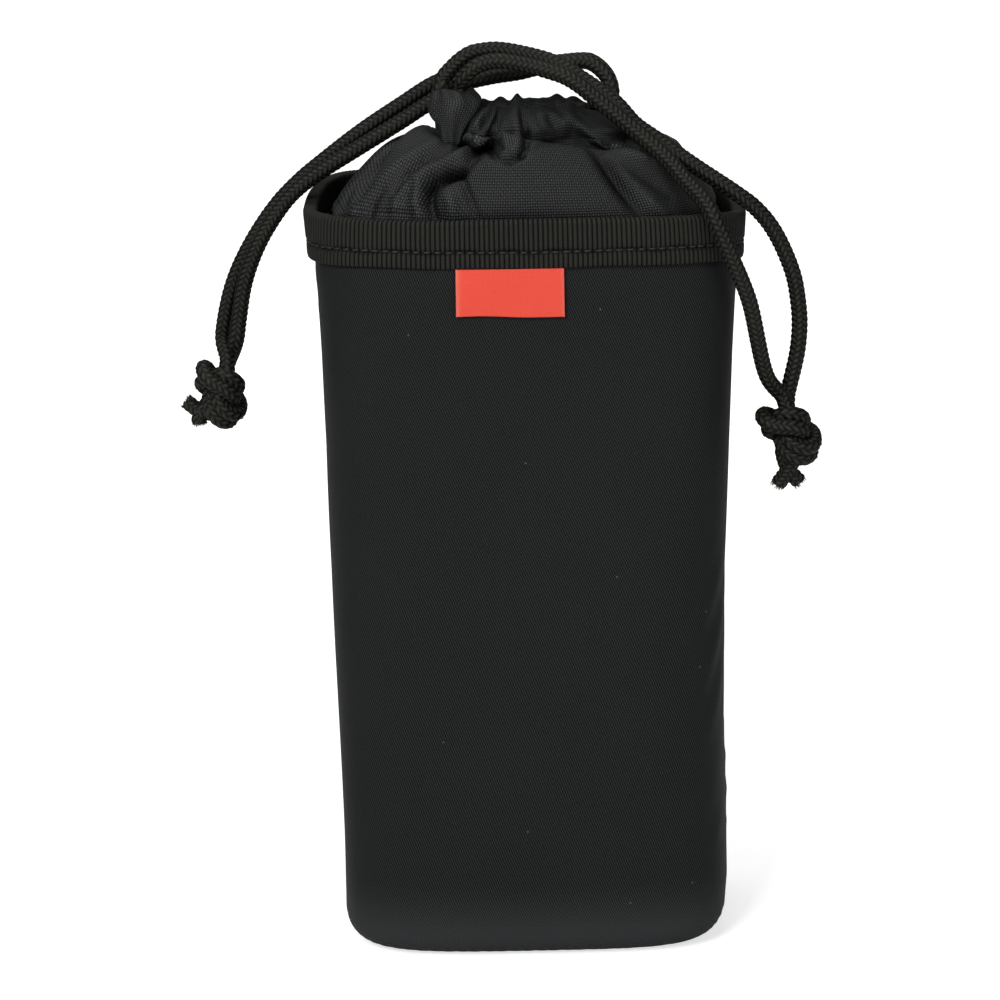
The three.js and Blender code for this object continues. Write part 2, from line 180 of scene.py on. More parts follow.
def steadyFrames(line):
    # two directions across the line that turn as little as they can
    tangent = np.gradient(line, axis=0)
    tangent /= np.linalg.norm(tangent, axis=1)[:, None]
    aside = (0.31, 0.92, 0.24)   # a direction that no line here starts along
    start = np.cross(tangent[0], aside)
    across = [start / np.linalg.norm(start)]
    for k in range(len(line) - 1):
        v = line[k + 1] - line[k]
        c = v @ v
        r = across[-1] - v * (2 / c * (v @ across[-1]))
        t = tangent[k] - v * (2 / c * (v @ tangent[k]))
        w = tangent[k + 1] - t
        n = w @ w
        r = r - w * (2 / n * (w @ r)) if n > 1e-14 else r
        r = r - tangent[k + 1] * (r @ tangent[k + 1])
        across.append(r / np.linalg.norm(r))
    across = np.array(across)
    return across, np.cross(tangent, across)


# braided drawcords, two pairs, each pair ending in one knot
drawcord = {
    "diameter": 4.0,       # mm
    "core": 1.62,          # radius under the yarns
    "yarn": 0.42,          # how far the yarns stand out
    "yarns": 8,            # in each direction
    "yarnHalf": 0.52,      # half a yarn's width, as a share of its room
    "under": 0.28,         # height of a yarn where it passes under, as a share
    "advance": 1.45,       # mm between yarns along the cord
    "sides": 44,
    "ring": 0.21,          # mm between rings
    "endCrown": 0.1,       # shade of a cut end
    "mouth": 208.8,        # height that the routes are measured from
    "rightInner": [
        (-15.6, -2.1, 3.2), (-15.6, -2.1, 7.7), (-15.6, -2.1, 8.9), (-15.2, -3, 10.3), (-13.5, -4, 12.2),
        (-11.3, -4.2, 14), (-8.4, -4.1, 15), (-5.4, -4.5, 15.3), (1.9, -5.5, 14.1), (6.3, -6.9, 13),
        (10.4, -8.4, 11.7), (14, -9.8, 9.6), (17.5, -11.2, 6.8), (25.2, -14.4, 0.9), (34.4, -19, -6.8),
        (39, -23, -11.9), (43.5, -28, -16.4), (45.8, -30.6, -20.6), (49.8, -31, -29.8), (53.8, -29.6, -40),
        (58.8, -25.2, -60.5), (60.2, -23.7, -67.2),
    ],
    "rightOuter": [
        (-20, -1.8, 3.2), (-20, -1.8, 7.7), (-20, -1.8, 8.9), (-19.6, -1, 10.6), (-17, -0.4, 13.5),
        (-14.7, -0.4, 15.5), (-12.3, -0.1, 16.8), (-9.5, 0.1, 17.3), (-6.6, 0.1, 17.5), (-2.9, -0.1, 17.1),
        (4.4, -1.2, 15.5), (8.1, -2.2, 14.3), (14.1, -4.4, 11), (22.8, -7.8, 5), (27.3, -9.8, 0.2),
        (32.1, -11.6, -3.1), (41.9, -15.2, -9.7), (51.1, -19, -15.5), (56, -19.2, -19.3), (60.6, -18.8, -25.1),
        (65.3, -18, -35.7), (66.7, -17.8, -42.9), (67.1, -18, -48.7), (66.5, -18.6, -55.5), (64.6, -20.5, -67.6),
    ],
    "leftFront": [
        (22, 1.4, 2.0), (22, 1.4, 5.9), (22, 1.4, 7.2), (21.2, 1.9, 9.7), (19.8, 2.6, 11.4),
        (18.4, 3.2, 12.6), (16.6, 3.8, 13.5), (14.4, 4.2, 13.8), (10.9, 4.6, 13.4), (5.7, 5, 12.6),
        (-0.5, 5.2, 11.1), (-7.9, 5.4, 10), (-14.6, 5.3, 8.4), (-21.1, 5.1, 5), (-30.4, 4.8, -0.8),
        (-40.5, 4.2, -6.8), (-50.6, 3.2, -12.8), (-55.6, 2.7, -16.3), (-59.4, 2.4, -20), (-65.7, 1.5, -29.3),
        (-69.8, 1, -39.3), (-71.8, 0.9, -49.5), (-72.6, 0.9, -54.6), (-74.4, 0.9, -61.4),
    ],
    "leftBack": [
        (22, 5.9, 2.0), (22, 5.9, 5.9), (22, 5.9, 7.2), (21.3, 6.7, 9.3), (20, 7.3, 11.1),
        (18.5, 7.9, 12.4), (16.7, 8.4, 13.3), (14.5, 8.6, 13.4), (11, 9, 13.1), (5.8, 9.4, 12.4),
        (-0.4, 9.6, 11.3), (-7.9, 9.8, 10.6), (-14.6, 9.7, 10), (-21.1, 9.5, 8.4), (-30.5, 9.2, 2.8),
        (-40.6, 8.6, -3.7), (-50.7, 7.8, -11.2), (-55.8, 7.4, -15.3), (-61.5, 6.8, -21), (-68, 5.8, -30.1),
        (-73, 5.1, -40.1), (-75.7, 4.8, -50.2), (-76.3, 4.8, -55.4), (-77, 5, -61.4),
    ],
}


def braidHeight(turnShare, along):
    # two sets of yarns wound opposite ways, each over two and under two
    u = turnShare * drawcord["yarns"] - along / drawcord["advance"]
    v = turnShare * drawcord["yarns"] + along / drawcord["advance"]
    iu, iv = np.floor(u), np.floor(v)
    half, low = drawcord["yarnHalf"], drawcord["under"]
    roundU = np.sqrt(np.clip(1 - ((u - iu - 0.5) / half) ** 2, 0, 1))
    roundV = np.sqrt(np.clip(1 - ((v - iv - 0.5) / half) ** 2, 0, 1))
    overU = 0.5 + 0.5 * np.cos(pi / 2 * (v + iu - 1))
    overV = 0.5 + 0.5 * np.cos(pi / 2 * (u + iv - 3))
    return np.maximum(roundU * (low + (1 - low) * overU), roundV * (low + (1 - low) * overV))


def braidTube(name, line, startAt=0.0):
    across, beside = steadyFrames(line)
    along = measured(line) + startAt
    share = np.arange(drawcord["sides"]) / drawcord["sides"]
    height = braidHeight(share[None, :], along[:, None])
    radius = drawcord["core"] + drawcord["yarn"] * height
    angle = 2 * pi * share
    ring = across[:, None, :] * np.cos(angle)[None, :, None] + beside[:, None, :] * np.sin(angle)[None, :, None]
    points = (line[:, None, :] + ring * radius[:, :, None]).reshape(-1, 3)
    rows, cols = len(line), drawcord["sides"]
    faces = gridFaces(rows, cols, True)
    # both ends closed to their middles
    points = np.vstack([points, line[0], line[-1]])
    base = (rows - 1) * cols
    for c in range(cols):
        faces.append((rows * cols, (c + 1) % cols, c))
        faces.append((rows * cols + 1, base + c, base + (c + 1) % cols))
    piece = makePiece(name, points, faces)
    setShade(piece, "crown", np.concatenate([height.ravel(), [drawcord["endCrown"]] * 2]))
    return piece


# overhand knot of two strands, drawn tight from a loose one
knotting = {
    "points": 92, "steps": 1500, "quickSteps": 300, "contact": 3.6, "loose": 6.0, "tight": 0.30,
    "stiffness": 0.16, "reach": 15.0,
    "samples": 400,          # along the loose knot
    "rise": 5.5,             # how far its strands pass over each other
    "beside": 2.15,          # mm from its line to each strand
    "half": 2.05,            # mm from its axis to each end
    "lead": (30, 7),         # where its straight ends run from and to
    "skip": 4,               # points along one strand that don't touch
    "drawRate": 1.15, "leadRate": 1.3,
    "pulls": 6, "pull": 0.7, "pushes": 2, "push": 0.175,
    "centring": (0.35, 0.65),
    # mm above or below the middle where a cord comes in, goes under the first wrap and comes out
    "enter": 8.2, "under": 2.2, "leave": -5.6,
    "lap": 12,               # rings that the knot shares with the free cord
    "bow": 1.3,              # how far a tail runs on before it bends
}


def tieKnot():
    n, near, samples = knotting["points"], knotting["contact"], knotting["samples"]
    t = np.linspace(pi, 3 * pi, samples)
    flat = np.stack([np.sin(t) + 2 * np.sin(2 * t), np.cos(t) - 2 * np.cos(2 * t)], 1) * knotting["loose"]
    ahead = np.gradient(flat, axis=0)
    ahead /= np.linalg.norm(ahead, axis=1)[:, None]
    side = np.stack([ahead[:, 1], -ahead[:, 0]], 1)
    share = np.linspace(0, 1, samples)
    first, last = 1 - np.clip(share * 8, 0, 1), 1 - np.clip((1 - share) * 8, 0, 1)
    rise = -np.sin(3 * t) * knotting["rise"] + 4 * first - 4 * last
    far, close = knotting["lead"]
    strands = []
    for k in (-1, 1):
        loop = np.column_stack([flat + side * (k * knotting["beside"]), rise])
        top = [(loop[0, 0], loop[0, 1], h) for h in np.linspace(far, close, 20)]
        low = [(loop[-1, 0], loop[-1, 1], h) for h in np.linspace(-close, -far, 20)]
        strands.append(evenly(np.vstack([top, loop[6:-6], low]), n))
    p = np.vstack(strands)
    q = p.reshape(2, n, 3)
    strand, place = np.repeat([0, 1], n), np.tile(np.arange(n), 2)
    distant = np.abs(place[:, None] - place[None, :]) > knotting["skip"]
    apart = np.triu((strand[:, None] != strand[None, :]) | distant, 1)
    spacing = np.linalg.norm(np.diff(q, axis=1), axis=2).mean()
    tops, lows = p[[0, n]].copy(), p[[n - 1, 2 * n - 1]].copy()
    axis = (tops.mean(0) + lows.mean(0)) / 2
    steps = knotting["steps"]
    for step in range(steps):
        done = step / steps
        rest = spacing * (1 + (knotting["tight"] - 1) * min(1.0, done * knotting["drawRate"]))
        ease = min(1.0, done * knotting["leadRate"])
        for k, s in ((0, -1), (1, 1)):
            goal = np.array([axis[0] + s * knotting["half"], axis[1], knotting["reach"]])
            p[k * n] = tops[k] * (1 - ease) + goal * ease
            goal[2] = -knotting["reach"]
            p[k * n + n - 1] = lows[k] * (1 - ease) + goal * ease
        for _ in range(knotting["pulls"]):
            part = q[:, 1:] - q[:, :-1]
            length = np.linalg.norm(part, axis=2, keepdims=True)
            pull = part * (0.5 * (length - rest) / np.maximum(length, 1e-9)) * knotting["pull"]
            q[:, :-1] += pull
            q[:, 1:] -= pull
        q[:, 1:-1] += ((q[:, 2:] + q[:, :-2]) / 2 - q[:, 1:-1]) * knotting["stiffness"]
        for _ in range(knotting["pushes"]):
            gap = p[:, None, :] - p[None, :, :]
            dist = np.sqrt((gap**2).sum(2))
            i, j = np.nonzero(apart & (dist < near))
            if len(i):
                d = dist[i, j][:, None]
                push = gap[i, j] / np.maximum(d, 1e-6) * (near - d) * knotting["push"]
                np.add.at(p, i, push)
                np.add.at(p, j, -push)
    middle = q[:, n // 4: -n // 4].mean((0, 1))
    a, b = knotting["centring"]
    q -= [axis[0], axis[1] * a + middle[1] * b, middle[2]]
    return q.copy()


knotPlaces = {
    "right": {
        "middle": (63.9, -22.1, 135.0), "turn": 190.0, "tilt": 0.0, "frayed": 1.0, "seed": 11,
        "tips": [(61.7, -22.5, 120.9), (66.8, -21.7, 121.3)],
    },
    "left": {
        "middle": (-77.8, 3.0, 141.6), "turn": 200.0, "tilt": 26.0, "frayed": 0.35, "seed": 16,
        "tips": [(-86.0, 2.2, 138.4), (-82.6, 1.2, 132.6)],
    },
}


def placeKnot(strands, middle, turn, tilt):
    a, b = radians(turn), radians(tilt)
    about = np.array([[cos(a), -sin(a), 0], [sin(a), cos(a), 0], [0, 0, 1]])
    lean = np.array([[cos(b), 0, sin(b)], [0, 1, 0], [-sin(b), 0, cos(b)]])
    return strands @ about.T @ lean.T + middle


def route(name):
    return np.asarray(drawcord[name], float) + (0, 0, drawcord["mouth"])


# loose filaments at a cut end
fray = {
    "filaments": 110, "ring": 1.75, "root": 0.6, "outward": (-0.1, 0.4), "wander": 0.12,
    "length": (0.7, 1.9), "thick": (0.09, 0.16), "taper": 0.75, "levels": (0, 0.4, 0.75, 1), "crown": 1.25,
}


def frayEnd(line, spread, seed):
    rng = np.random.default_rng(seed)
    across, beside = steadyFrames(line)
    tip, out = line[-1], line[-1] - line[-3]
    out = out / np.linalg.norm(out)
    points, faces = [], []
    for _ in range(fray["filaments"]):
        a = rng.uniform(0, 2 * pi)
        about = across[-1] * cos(a) + beside[-1] * sin(a)
        root = tip - out * fray["root"] + about * (fray["ring"] * rng.uniform(0.1, 1) ** 0.5)
        lean = about * rng.uniform(*fray["outward"]) * spread + rng.normal(0, fray["wander"], 3)
        length = rng.uniform(*fray["length"]) * (0.45 + 0.55 * spread)
        thick = rng.uniform(*fray["thick"])
        side = np.cross(out, rng.normal(0, 1, 3))
        side /= np.linalg.norm(side)
        other = np.cross(out, side)
        start = len(points)
        for s in fray["levels"]:
            spot = root + (out + lean * s) * length * s
            w = thick * (1 - fray["taper"] * s)
            half, high = side * w * 0.5, other * w * 0.87
            points += [spot + side * w, spot - half + high, spot - half - high]
        for lo in range(start, len(points) - 3, 3):
            for e in range(3):
                f = (e + 1) % 3
                faces.append((lo + e, lo + f, lo + 3 + f, lo + 3 + e))
        end = len(points) - 3
        faces.append((end, end + 1, end + 2))
        faces.append((start + 2, start + 1, start))
    return points, faces


def joinPieces(name, pieces):
    # one mesh from several, keeping the crown values
    points, faces, crown = [], [], []
    for piece in pieces:
        mesh = piece.data
        start = len(points)
        points += [tuple(v.co) for v in mesh.vertices]
        faces += [tuple(start + i for i in f.vertices) for f in mesh.polygons]
        layer = mesh.attributes["crown"]
        crown += [d.value for d in layer.data]
        bpy.data.objects.remove(piece)
        bpy.data.meshes.remove(mesh)
    whole = makePiece(name, np.array(points) / mm, faces)
    setShade(whole, "crown", crown)
    return whole


def fitting(spots, goals):
    # which of two spots goes with which goal
    straight = np.linalg.norm(spots - goals, axis=1).sum()
    crossed = np.linalg.norm(spots[::-1] - goals, axis=1).sum()
    return (0, 1) if straight <= crossed else (1, 0)


def makeCords():
    knot = tieKnot()
    print("knot tied, spans", np.round(np.ptp(knot.reshape(-1, 3)[:, :2], axis=0), 1), "mm")
    made = {}
    for side, names in (("right", ("rightInner", "rightOuter")), ("left", ("leftFront", "leftBack"))):
        spot = knotPlaces[side]
        middle = np.array(spot["middle"])
        lean = radians(spot["tilt"])
        upward = np.array([sin(lean), 0, cos(lean)])
        placed = placeKnot(knot, middle, spot["turn"], spot["tilt"])
        order = fitting(placed[:, 0], np.array([route(n)[-1] for n in names]))
        tips = np.array(spot["tips"])
        tips = tips[list(fitting(tips, placed[list(order), -1]))]
        parts = []
        for k, name in enumerate(names):
            own = placed[order[k]]
            height = (own - middle) @ upward
            first = np.nonzero(height < knotting["enter"])[0][0]
            last = np.nonzero(height > knotting["leave"])[0][-1]
            ahead = own[last] - own[last - 1]
            ahead = ahead / np.linalg.norm(ahead)
            bend = own[last] * 0.5 + tips[k] * 0.5 + ahead * knotting["bow"]
            course = np.vstack([route(name)[:-1], own[first: last + 1], bend, tips[k]])
            line = throughPoints(course, drawcord["ring"])
            # the free cord runs to where it passes under the first wrap, the rest belongs to the knot
            under = np.nonzero((line - middle) @ upward < knotting["under"])[0][0]
            d = measured(line)
            free, lap = line[: under + 1], under - knotting["lap"]
            made[name] = {"piece": braidTube(name, free), "line": free, "length": d[under]}
            parts.append(braidTube(side + "Knot" + name, line[lap:], d[lap]))
            points, faces = frayEnd(line[lap:], spot["frayed"], spot["seed"] + k)
            fringe = makePiece(side + "Fringe" + name, points, faces)
            setShade(fringe, "crown", np.full(len(points), fray["crown"]))
            parts.append(fringe)
        made[side + "Knot"] = {"piece": joinPieces(side + "_knot_tied", parts)}
        print(side, "cord strands", [round(made[n]["length"], 1) for n in names], "mm")
    return made


cords = makeCords()


# where each cord loop runs inside the casings
loopRuns = {
    "reach": 4.4, "left": -12.0, "right": 10.0, "crown": 0.3, "step": 2.1, "ring": 0.3,
    "leftExits": [(-15.6, -2.1, 7.4), (-20, -1.8, 7.4)],
    "rightExits": [(22, 1.4, 5.6), (22, 5.9, 5.6)],
}


def casingRun(side, lift, shares):
    out = []
    for u in shares:
        bow = 4 * u * (1 - u) * loopRuns["crown"]
        x = loopRuns["left"] + (loopRuns["right"] - loopRuns["left"]) * u
        out.append((x, side * (loopRuns["reach"] + bow), lift - bow))
    return out


def makeLoops():
    up, down = (0, 0.25, 0.5, 0.75, 1), (1, 0.75, 0.5, 0.25, 0)
    high, low = loopRuns["step"], -loopRuns["step"]
    a, b = loopRuns["leftExits"]
    c, d = loopRuns["rightExits"]
    rightLoop = [a, (-15.6, -2.1, 5.2), (-14.6, -3.4, 3.3)] + casingRun(-1, high, up)
    rightLoop += [(15.0, 0, high)] + casingRun(1, high, down)
    rightLoop += [(-16.4, 4.2, 2.1), (-19.7, 1.6, 2.6), (-20, -1.7, 5.2), b]
    leftLoop = [c, (22, 1.4, 3.4), (20.9, -1.6, 0.2), (15.8, -4.2, -1.9)] + casingRun(-1, low, down)
    leftLoop += [(-17.2, 0, low)] + casingRun(1, low, up)
    leftLoop += [(15.8, 5.4, -1.9), (20.6, 6.6, -0.2), (22, 5.9, 3.2), d]
    out = []
    for name, points in (("left_loop_drawn", leftLoop), ("right_loop_drawn", rightLoop)):
        line = throughPoints(np.asarray(points, float) + (0, 0, drawcord["mouth"]), loopRuns["ring"])
        out.append(braidTube(name, line))
    return out


leftLoopPiece, rightLoopPiece = makeLoops()
print("cords made")


# padded body, measured over its outer cloth
pouch = {
    "rimHeight": 190.0, "wallTop": 189.0, "flarePower": 7.0,
    "baseDepth": 66.0, "rimDepth": 69.0, "rimWidth": 108.0,
    "baseSquareness": 4.4, "rimSquareness": 2.9, "edgeRadius": 8.0,
    "heights": (0, 15, 35, 55, 98, 130, 153, 170, 180, 190),
    "left": (48.7, 48.9, 49.0, 49.1, 49.3, 49.9, 50.9, 51.9, 52.8, 53.7),
    "right": (48.8, 50.0, 49.8, 49.1, 49.1, 50.2, 51.2, 52.2, 53.1, 53.8),
    "columns": 320, "rows": 190, "edgeRows": 14, "edgeTurn": 1.25,
    "samples": 400,                           # to each quarter of a ring
    "endDips": ((1.8, 28.0), (3.6, 34.0)),    # of the rim, left and right: mm down, degrees wide
    "backRise": (2.8, 140.0, 22.0),           # of the rim: mm up, degrees round and wide
    "liftFrom": (140.0, 188.0),               # heights between which these set in
}


def bodySides(z):
    left = np.interp(z, pouch["heights"], pouch["left"])
    right = np.interp(z, pouch["heights"], pouch["right"])
    return left, right


def rimLift(x, y):
    # the rim dips at its two ends and stands up at the back left, in mm
    turn = np.degrees(np.arctan2(y / pouch["rimDepth"], x / pouch["rimWidth"])) % 360
    right = np.minimum(turn, 360 - turn)
    (leftDip, leftWide), (rightDip, rightWide) = pouch["endDips"]
    rise, riseAt, riseWide = pouch["backRise"]
    dip = leftDip * bell(turn - 180, leftWide) + rightDip * bell(right, rightWide)
    return rise * bell(turn - riseAt, riseWide) - dip


def bodyRing(z, inset, count):
    # even points round the body at a height, from the right seam by the back to the left and the front
    flare = max(0.0, z / pouch["rimHeight"]) ** pouch["flarePower"]
    left, right = bodySides(z)
    middle, halfX = (right - left) / 2, (left + right) / 2 - inset
    halfY = (pouch["baseDepth"] + (pouch["rimDepth"] - pouch["baseDepth"]) * flare) / 2 - inset
    power = 2 / (pouch["baseSquareness"] + (pouch["rimSquareness"] - pouch["baseSquareness"]) * flare)
    samples = pouch["samples"]
    x, y, d = squaredRing(halfX, halfY, power, 4 * samples)
    # each quarter gets the same share of points, so that the seams stay in line
    quarter = count // 4
    at = []
    for k in range(4):
        a, b = d[samples * k], d[samples * (k + 1)]
        at += list(a + (b - a) * np.arange(quarter) / quarter)
    at = np.array(at)
    x, y = np.interp(at, d, x), np.interp(at, d, y)
    up = z + rimLift(x, y) * smoothStep(*pouch["liftFrom"], z)
    return np.stack([x + middle, y, up], 1), at, d[-1]


def outward(ring):
    t = np.roll(ring, -1, axis=0) - np.roll(ring, 1, axis=0)
    n = np.stack([t[:, 1], -t[:, 0], np.zeros(len(ring))], 1)
    return n / np.linalg.norm(n, axis=1)[:, None]


# how far the cloth stands off its plain form, in mm
bodyFolds = {
    "seam": 0.75, "seamWide": 1.1,
    "tuck": 0.32, "tuckPitch": 8.5, "tuckWide": 5.0, "leftTuck": 0.7,
    "pucker": 0.30, "puckerPitch": 9.5, "puckerAt": 26.0, "puckerWide": 9.0,
    "swell": 0.45, "ripple": 0.22,
    "gather": 0.20, "gatherPitch": 6.3, "gatherTall": 6.5,
    "heldIn": 0.5, "heldAt": 180.0, "heldWide": 4.0,
}


def bodyRelief(at, total, z):
    folds = bodyFolds
    right = np.minimum(at, total - at)
    left = np.abs(at - total / 2)
    out = -folds["seam"] * bell(right, folds["seamWide"]) - folds["seam"] * bell(left, folds["seamWide"])
    tuck = np.sin(z * 2 * pi / folds["tuckPitch"] + 1.4 * np.sin(z / 17.0)) * (0.4 + 0.6 * np.sin(z / 23.0) ** 2)
    sides = bell(right, folds["tuckWide"]) + folds["leftTuck"] * bell(left, folds["tuckWide"])
    out = out + folds["tuck"] * tuck * sides
    # slanting puckers on the right front corner
    corner = total - at
    slant = np.sin((z * 0.62 + corner * 0.85) * 2 * pi / folds["puckerPitch"] + 1.1 * np.sin(z / 21.0))
    zone = bell(corner - folds["puckerAt"], folds["puckerWide"])
    zone = zone * smoothStep(18, 40, z) * (1 - smoothStep(95, 120, z))
    out = out + folds["pucker"] * slant * zone * (0.55 + 0.45 * np.sin(z / 11.0 + 0.6))
    # slow swell of the padding
    turn = at / total * 2 * pi
    out = out + folds["swell"] * np.sin(turn * 3 + 0.8) * np.sin(z / pouch["rimHeight"] * pi * 2.3 + 0.5)
    ripple = folds["ripple"] * np.sin(turn * 7 + z / 31.0)
    out = out + ripple * smoothStep(10, 40, z) * (1 - smoothStep(165, 176, z))
    # gathers along the base seam
    hem = bell(z, folds["gatherTall"])
    out = out + folds["gather"] * hem * np.sin(at * 2 * pi / folds["gatherPitch"] + 1.3 * np.sin(at / 19.0))
    # the cloth is held in under the tape
    return out - folds["heldIn"] * bell(z - folds["heldAt"], folds["heldWide"])


# base: flat in the middle, sewn in at the turned edge
baseCloth = {
    "edgeShares": (1.0, 0.985, 0.96), "shares": (0.92, 0.02), "rows": 26,
    "groove": 0.55, "grooveWide": 0.012, "floor": 0.05, "fall": 0.05,
}


def makeBase(edge):
    shares = np.concatenate([baseCloth["edgeShares"], np.linspace(*baseCloth["shares"], baseCloth["rows"])])
    centre = edge.mean(0)
    level = edge[:, 2].mean()
    rings = []
    for s in shares:
        ring = centre + (edge - centre) * s
        # a seam groove, then the panel swells down to the floor
        dip = baseCloth["groove"] * bell(1 - s, baseCloth["grooveWide"])
        ring[:, 2] = level + dip - (level - baseCloth["floor"]) * smoothStep(0.0, baseCloth["fall"], 1 - s)
        rings.append(ring)
    spots = np.array(rings)[::-1].reshape(-1, 3)
    piece = makePiece("base_panel_cloth", spots, gridFaces(len(rings), len(edge), True))
    setUv(piece, spots[:, :2])
    return piece


def makeBody():
    cols = pouch["columns"]
    r = pouch["edgeRadius"]
    turns = np.linspace(pouch["edgeTurn"], 0, pouch["edgeRows"])
    profile = [(r - r * cos(t), r - r * sin(t)) for t in turns]
    profile += [(0.0, z) for z in np.linspace(r, pouch["wallTop"], pouch["rows"])[1:]]
    rings, along = [], []
    for inset, z in profile:
        ring, at, total = bodyRing(z, inset, cols)
        ring = ring + outward(ring) * bodyRelief(at, total, z)[:, None]
        rings.append(ring)
        along.append(np.concatenate([at, [total]]))
    grid = np.array(rings)
    rows = len(grid)
    steps = [np.hypot(b[0] - a[0], b[1] - a[1]) for a, b in zip(profile, profile[1:])]
    height = np.concatenate([[0], np.cumsum(steps)])
    half = cols // 2
    made = []
    for name, first in (("back_panel_cloth", 0), ("front_panel_cloth", half)):
        pick = (np.arange(first, first + half + 1)) % cols
        part = grid[:, pick, :]
        # flat cloth coordinates in mm, round the body and up it
        u = np.array([a[first: first + half + 1] for a in along])
        v = np.repeat(height[:, None], half + 1, axis=1)
        piece = makePiece(name, part.reshape(-1, 3), gridFaces(rows, half + 1, False))
        setUv(piece, np.stack([u, v], 2).reshape(-1, 2))
        made.append(piece)
    made.append(makeBase(grid[0]))
    return made


backPanel, frontPanel, basePanel = makeBody()
print("body made")


# lining inside the walls and over the base
lining = {
    "depth": 3.4, "top": 188.2, "bottom": 4.4, "columns": 160, "rows": (34, 14), "floorRows": 14,
    "split": (160, 163),                      # heights where the rows close up
    "thinBy": 1.6, "thinFrom": (166.0, 180.0),
    "corner": 3.0, "cornerTall": 2.5, "slack": 0.25, "slackEnd": (160, 176),
}


def makeLining():
    (lower, upper), (below, above) = lining["rows"], lining["split"]
    zs = np.concatenate([np.linspace(lining["bottom"], below, lower), np.linspace(above, lining["top"], upper)])
    rings = []
    for z in zs:
        inset = lining["depth"] - lining["thinBy"] * smoothStep(*lining["thinFrom"], z)
        inset = inset + lining["corner"] * bell(z - lining["bottom"], lining["cornerTall"])
        ring, at, _ = bodyRing(z, inset, lining["columns"])
        slack = lining["slack"] * np.sin(at / 9.0 + z / 13.0) * (1 - smoothStep(*lining["slackEnd"], z))
        ring = ring + outward(ring) * slack[:, None]
        rings.append(ring[::-1])
    floor = []
    for s in np.linspace(0.04, 0.97, lining["floorRows"]):
        ring = rings[0].mean(0) + (rings[0] - rings[0].mean(0)) * s
        ring[:, 2] = lining["bottom"] - 0.2
        floor.append(ring)
    grid = np.array(floor + rings)
    rows, cols = grid.shape[:2]
    spots = grid.reshape(-1, 3)
    piece = makePiece("lining_cloth", spots, gridFaces(rows, cols, True))
    setUv(piece, spots[:, [0, 2]])
    return piece


liningPiece = makeLining()


# ribbed tape folded over the rim
tape = {
    "low": 178.5, "top": 190.0, "out": 0.95, "inside": 2.3,
    "ribs": 256, "ribDepth": 0.3, "perRib": 8, "groove": 0.15, "stitchUp": 4.0, "wave": 0.28,
    "level": 184.0,       # where the ribs are set out
    "pinch": 0.5, "pinchWide": 0.55, "seamWide": 0.5, "paintedSeamShade": 0.75,
    "sway": 0.18,         # of the crown, up and down
}


def tapeProfile():
    # (distance outside the cloth, height), from the lower outer edge over the crown and down inside
    out, inner, low, top = tape["out"], -tape["inside"], tape["low"], tape["top"]
    line = [(0.05, low + 0.15), (0.30, low - 0.02), (0.62, low - 0.05), (0.86, low + 0.18), (out, low + 0.6)]
    for z in np.linspace(low + 1.2, top - 1.3, 15):
        pinch = tape["pinch"] * bell(z - low - tape["stitchUp"], tape["pinchWide"])
        line.append((out - pinch + 0.10 * bell(z - low, 1.6), z))
    face = len(line)
    mid, half = (out + inner) / 2, (out - inner) / 2
    for a in np.linspace(0, pi, 9):
        line.append((mid + half * np.sign(cos(a)) * abs(cos(a)) ** 0.62, top - 1.0 + 1.0 * sin(a) ** 0.8))
    crown = len(line)
    for z in np.linspace(top - 1.6, low, 5):
        line.append((inner, z))
    return np.array(line), face, crown


def tapeWave(at, total):
    # how the lower edge strays from level
    turn = at / total * 2 * pi
    return tape["wave"] * (0.6 * np.sin(turn * 5 + 0.4) + 0.4 * np.sin(turn * 11 + 2.0))


def makeTape():
    cols = tape["ribs"] * tape["perRib"]
    profile, face, crown = tapeProfile()
    _, at, total = bodyRing(tape["level"], 0.0, cols)
    wave = tapeWave(at, total)
    phase = at / total * tape["ribs"] * 2 * pi
    phase = phase + 0.25 * np.sin(at / 23.0)
    rib = 1 - bell((phase / (2 * pi)) % 1.0 - 0.5, tape["groove"])
    # ribs stand out across the tape's face
    lift = tape["ribDepth"] * (rib - 0.5)
    stray = 0.25 * np.sin(at / 2.1 + np.sin(at / 7.0))
    sway = tape["sway"] * np.sin(at / total * 2 * pi * 4 + 1.1)
    grid, shade = [], []
    for k, (out, z) in enumerate(profile):
        ring, _, _ = bodyRing(z, 0.0, cols)
        offset = out + (lift if k < (face + crown) // 2 else -lift)
        place = ring + outward(ring) * offset[:, None]
        low = smoothStep(tape["low"] + 6.0, tape["low"], z)
        place[:, 2] += wave * low * (1.0 if k < face else 0.4)
        if face <= k < crown:
            place[:, 2] += lift * 0.8
        place[:, 2] += sway * smoothStep(tape["level"], tape["top"], z)
        grid.append(place)
        # painted shade: the crown is the rib profile, dark in the grooves, and it is darkened further along the
        # stitch groove
        seam = bell(z - tape["low"] - tape["stitchUp"] + stray, tape["seamWide"])
        shade.append(rib * (1 - tape["paintedSeamShade"] * seam * (k < face)))
    rows = len(grid)
    piece = makePiece("rim_tape", np.array(grid).reshape(-1, 3), gridFaces(rows, cols, True))
    setShade(piece, "crown", shade)
    setUv(piece, np.column_stack([np.tile(at, rows), np.repeat(measured(profile), cols)]))
    return piece


tapePiece = makeTape()


# lockstitch along the tape, a row outside and a row inside
stitching = {
    "pitch": 2.55, "length": 2.0, "thread": 0.3, "height": 182.5, "sink": 0.2,
    "sides": 7, "rings": 9, "samples": 1600, "seed": 5,
    "uneven": (-0.06, 0.06), "stretch": (0.9, 1.05), "slant": 0.09, "endTurn": 0.12, "endPower": 0.35,
}


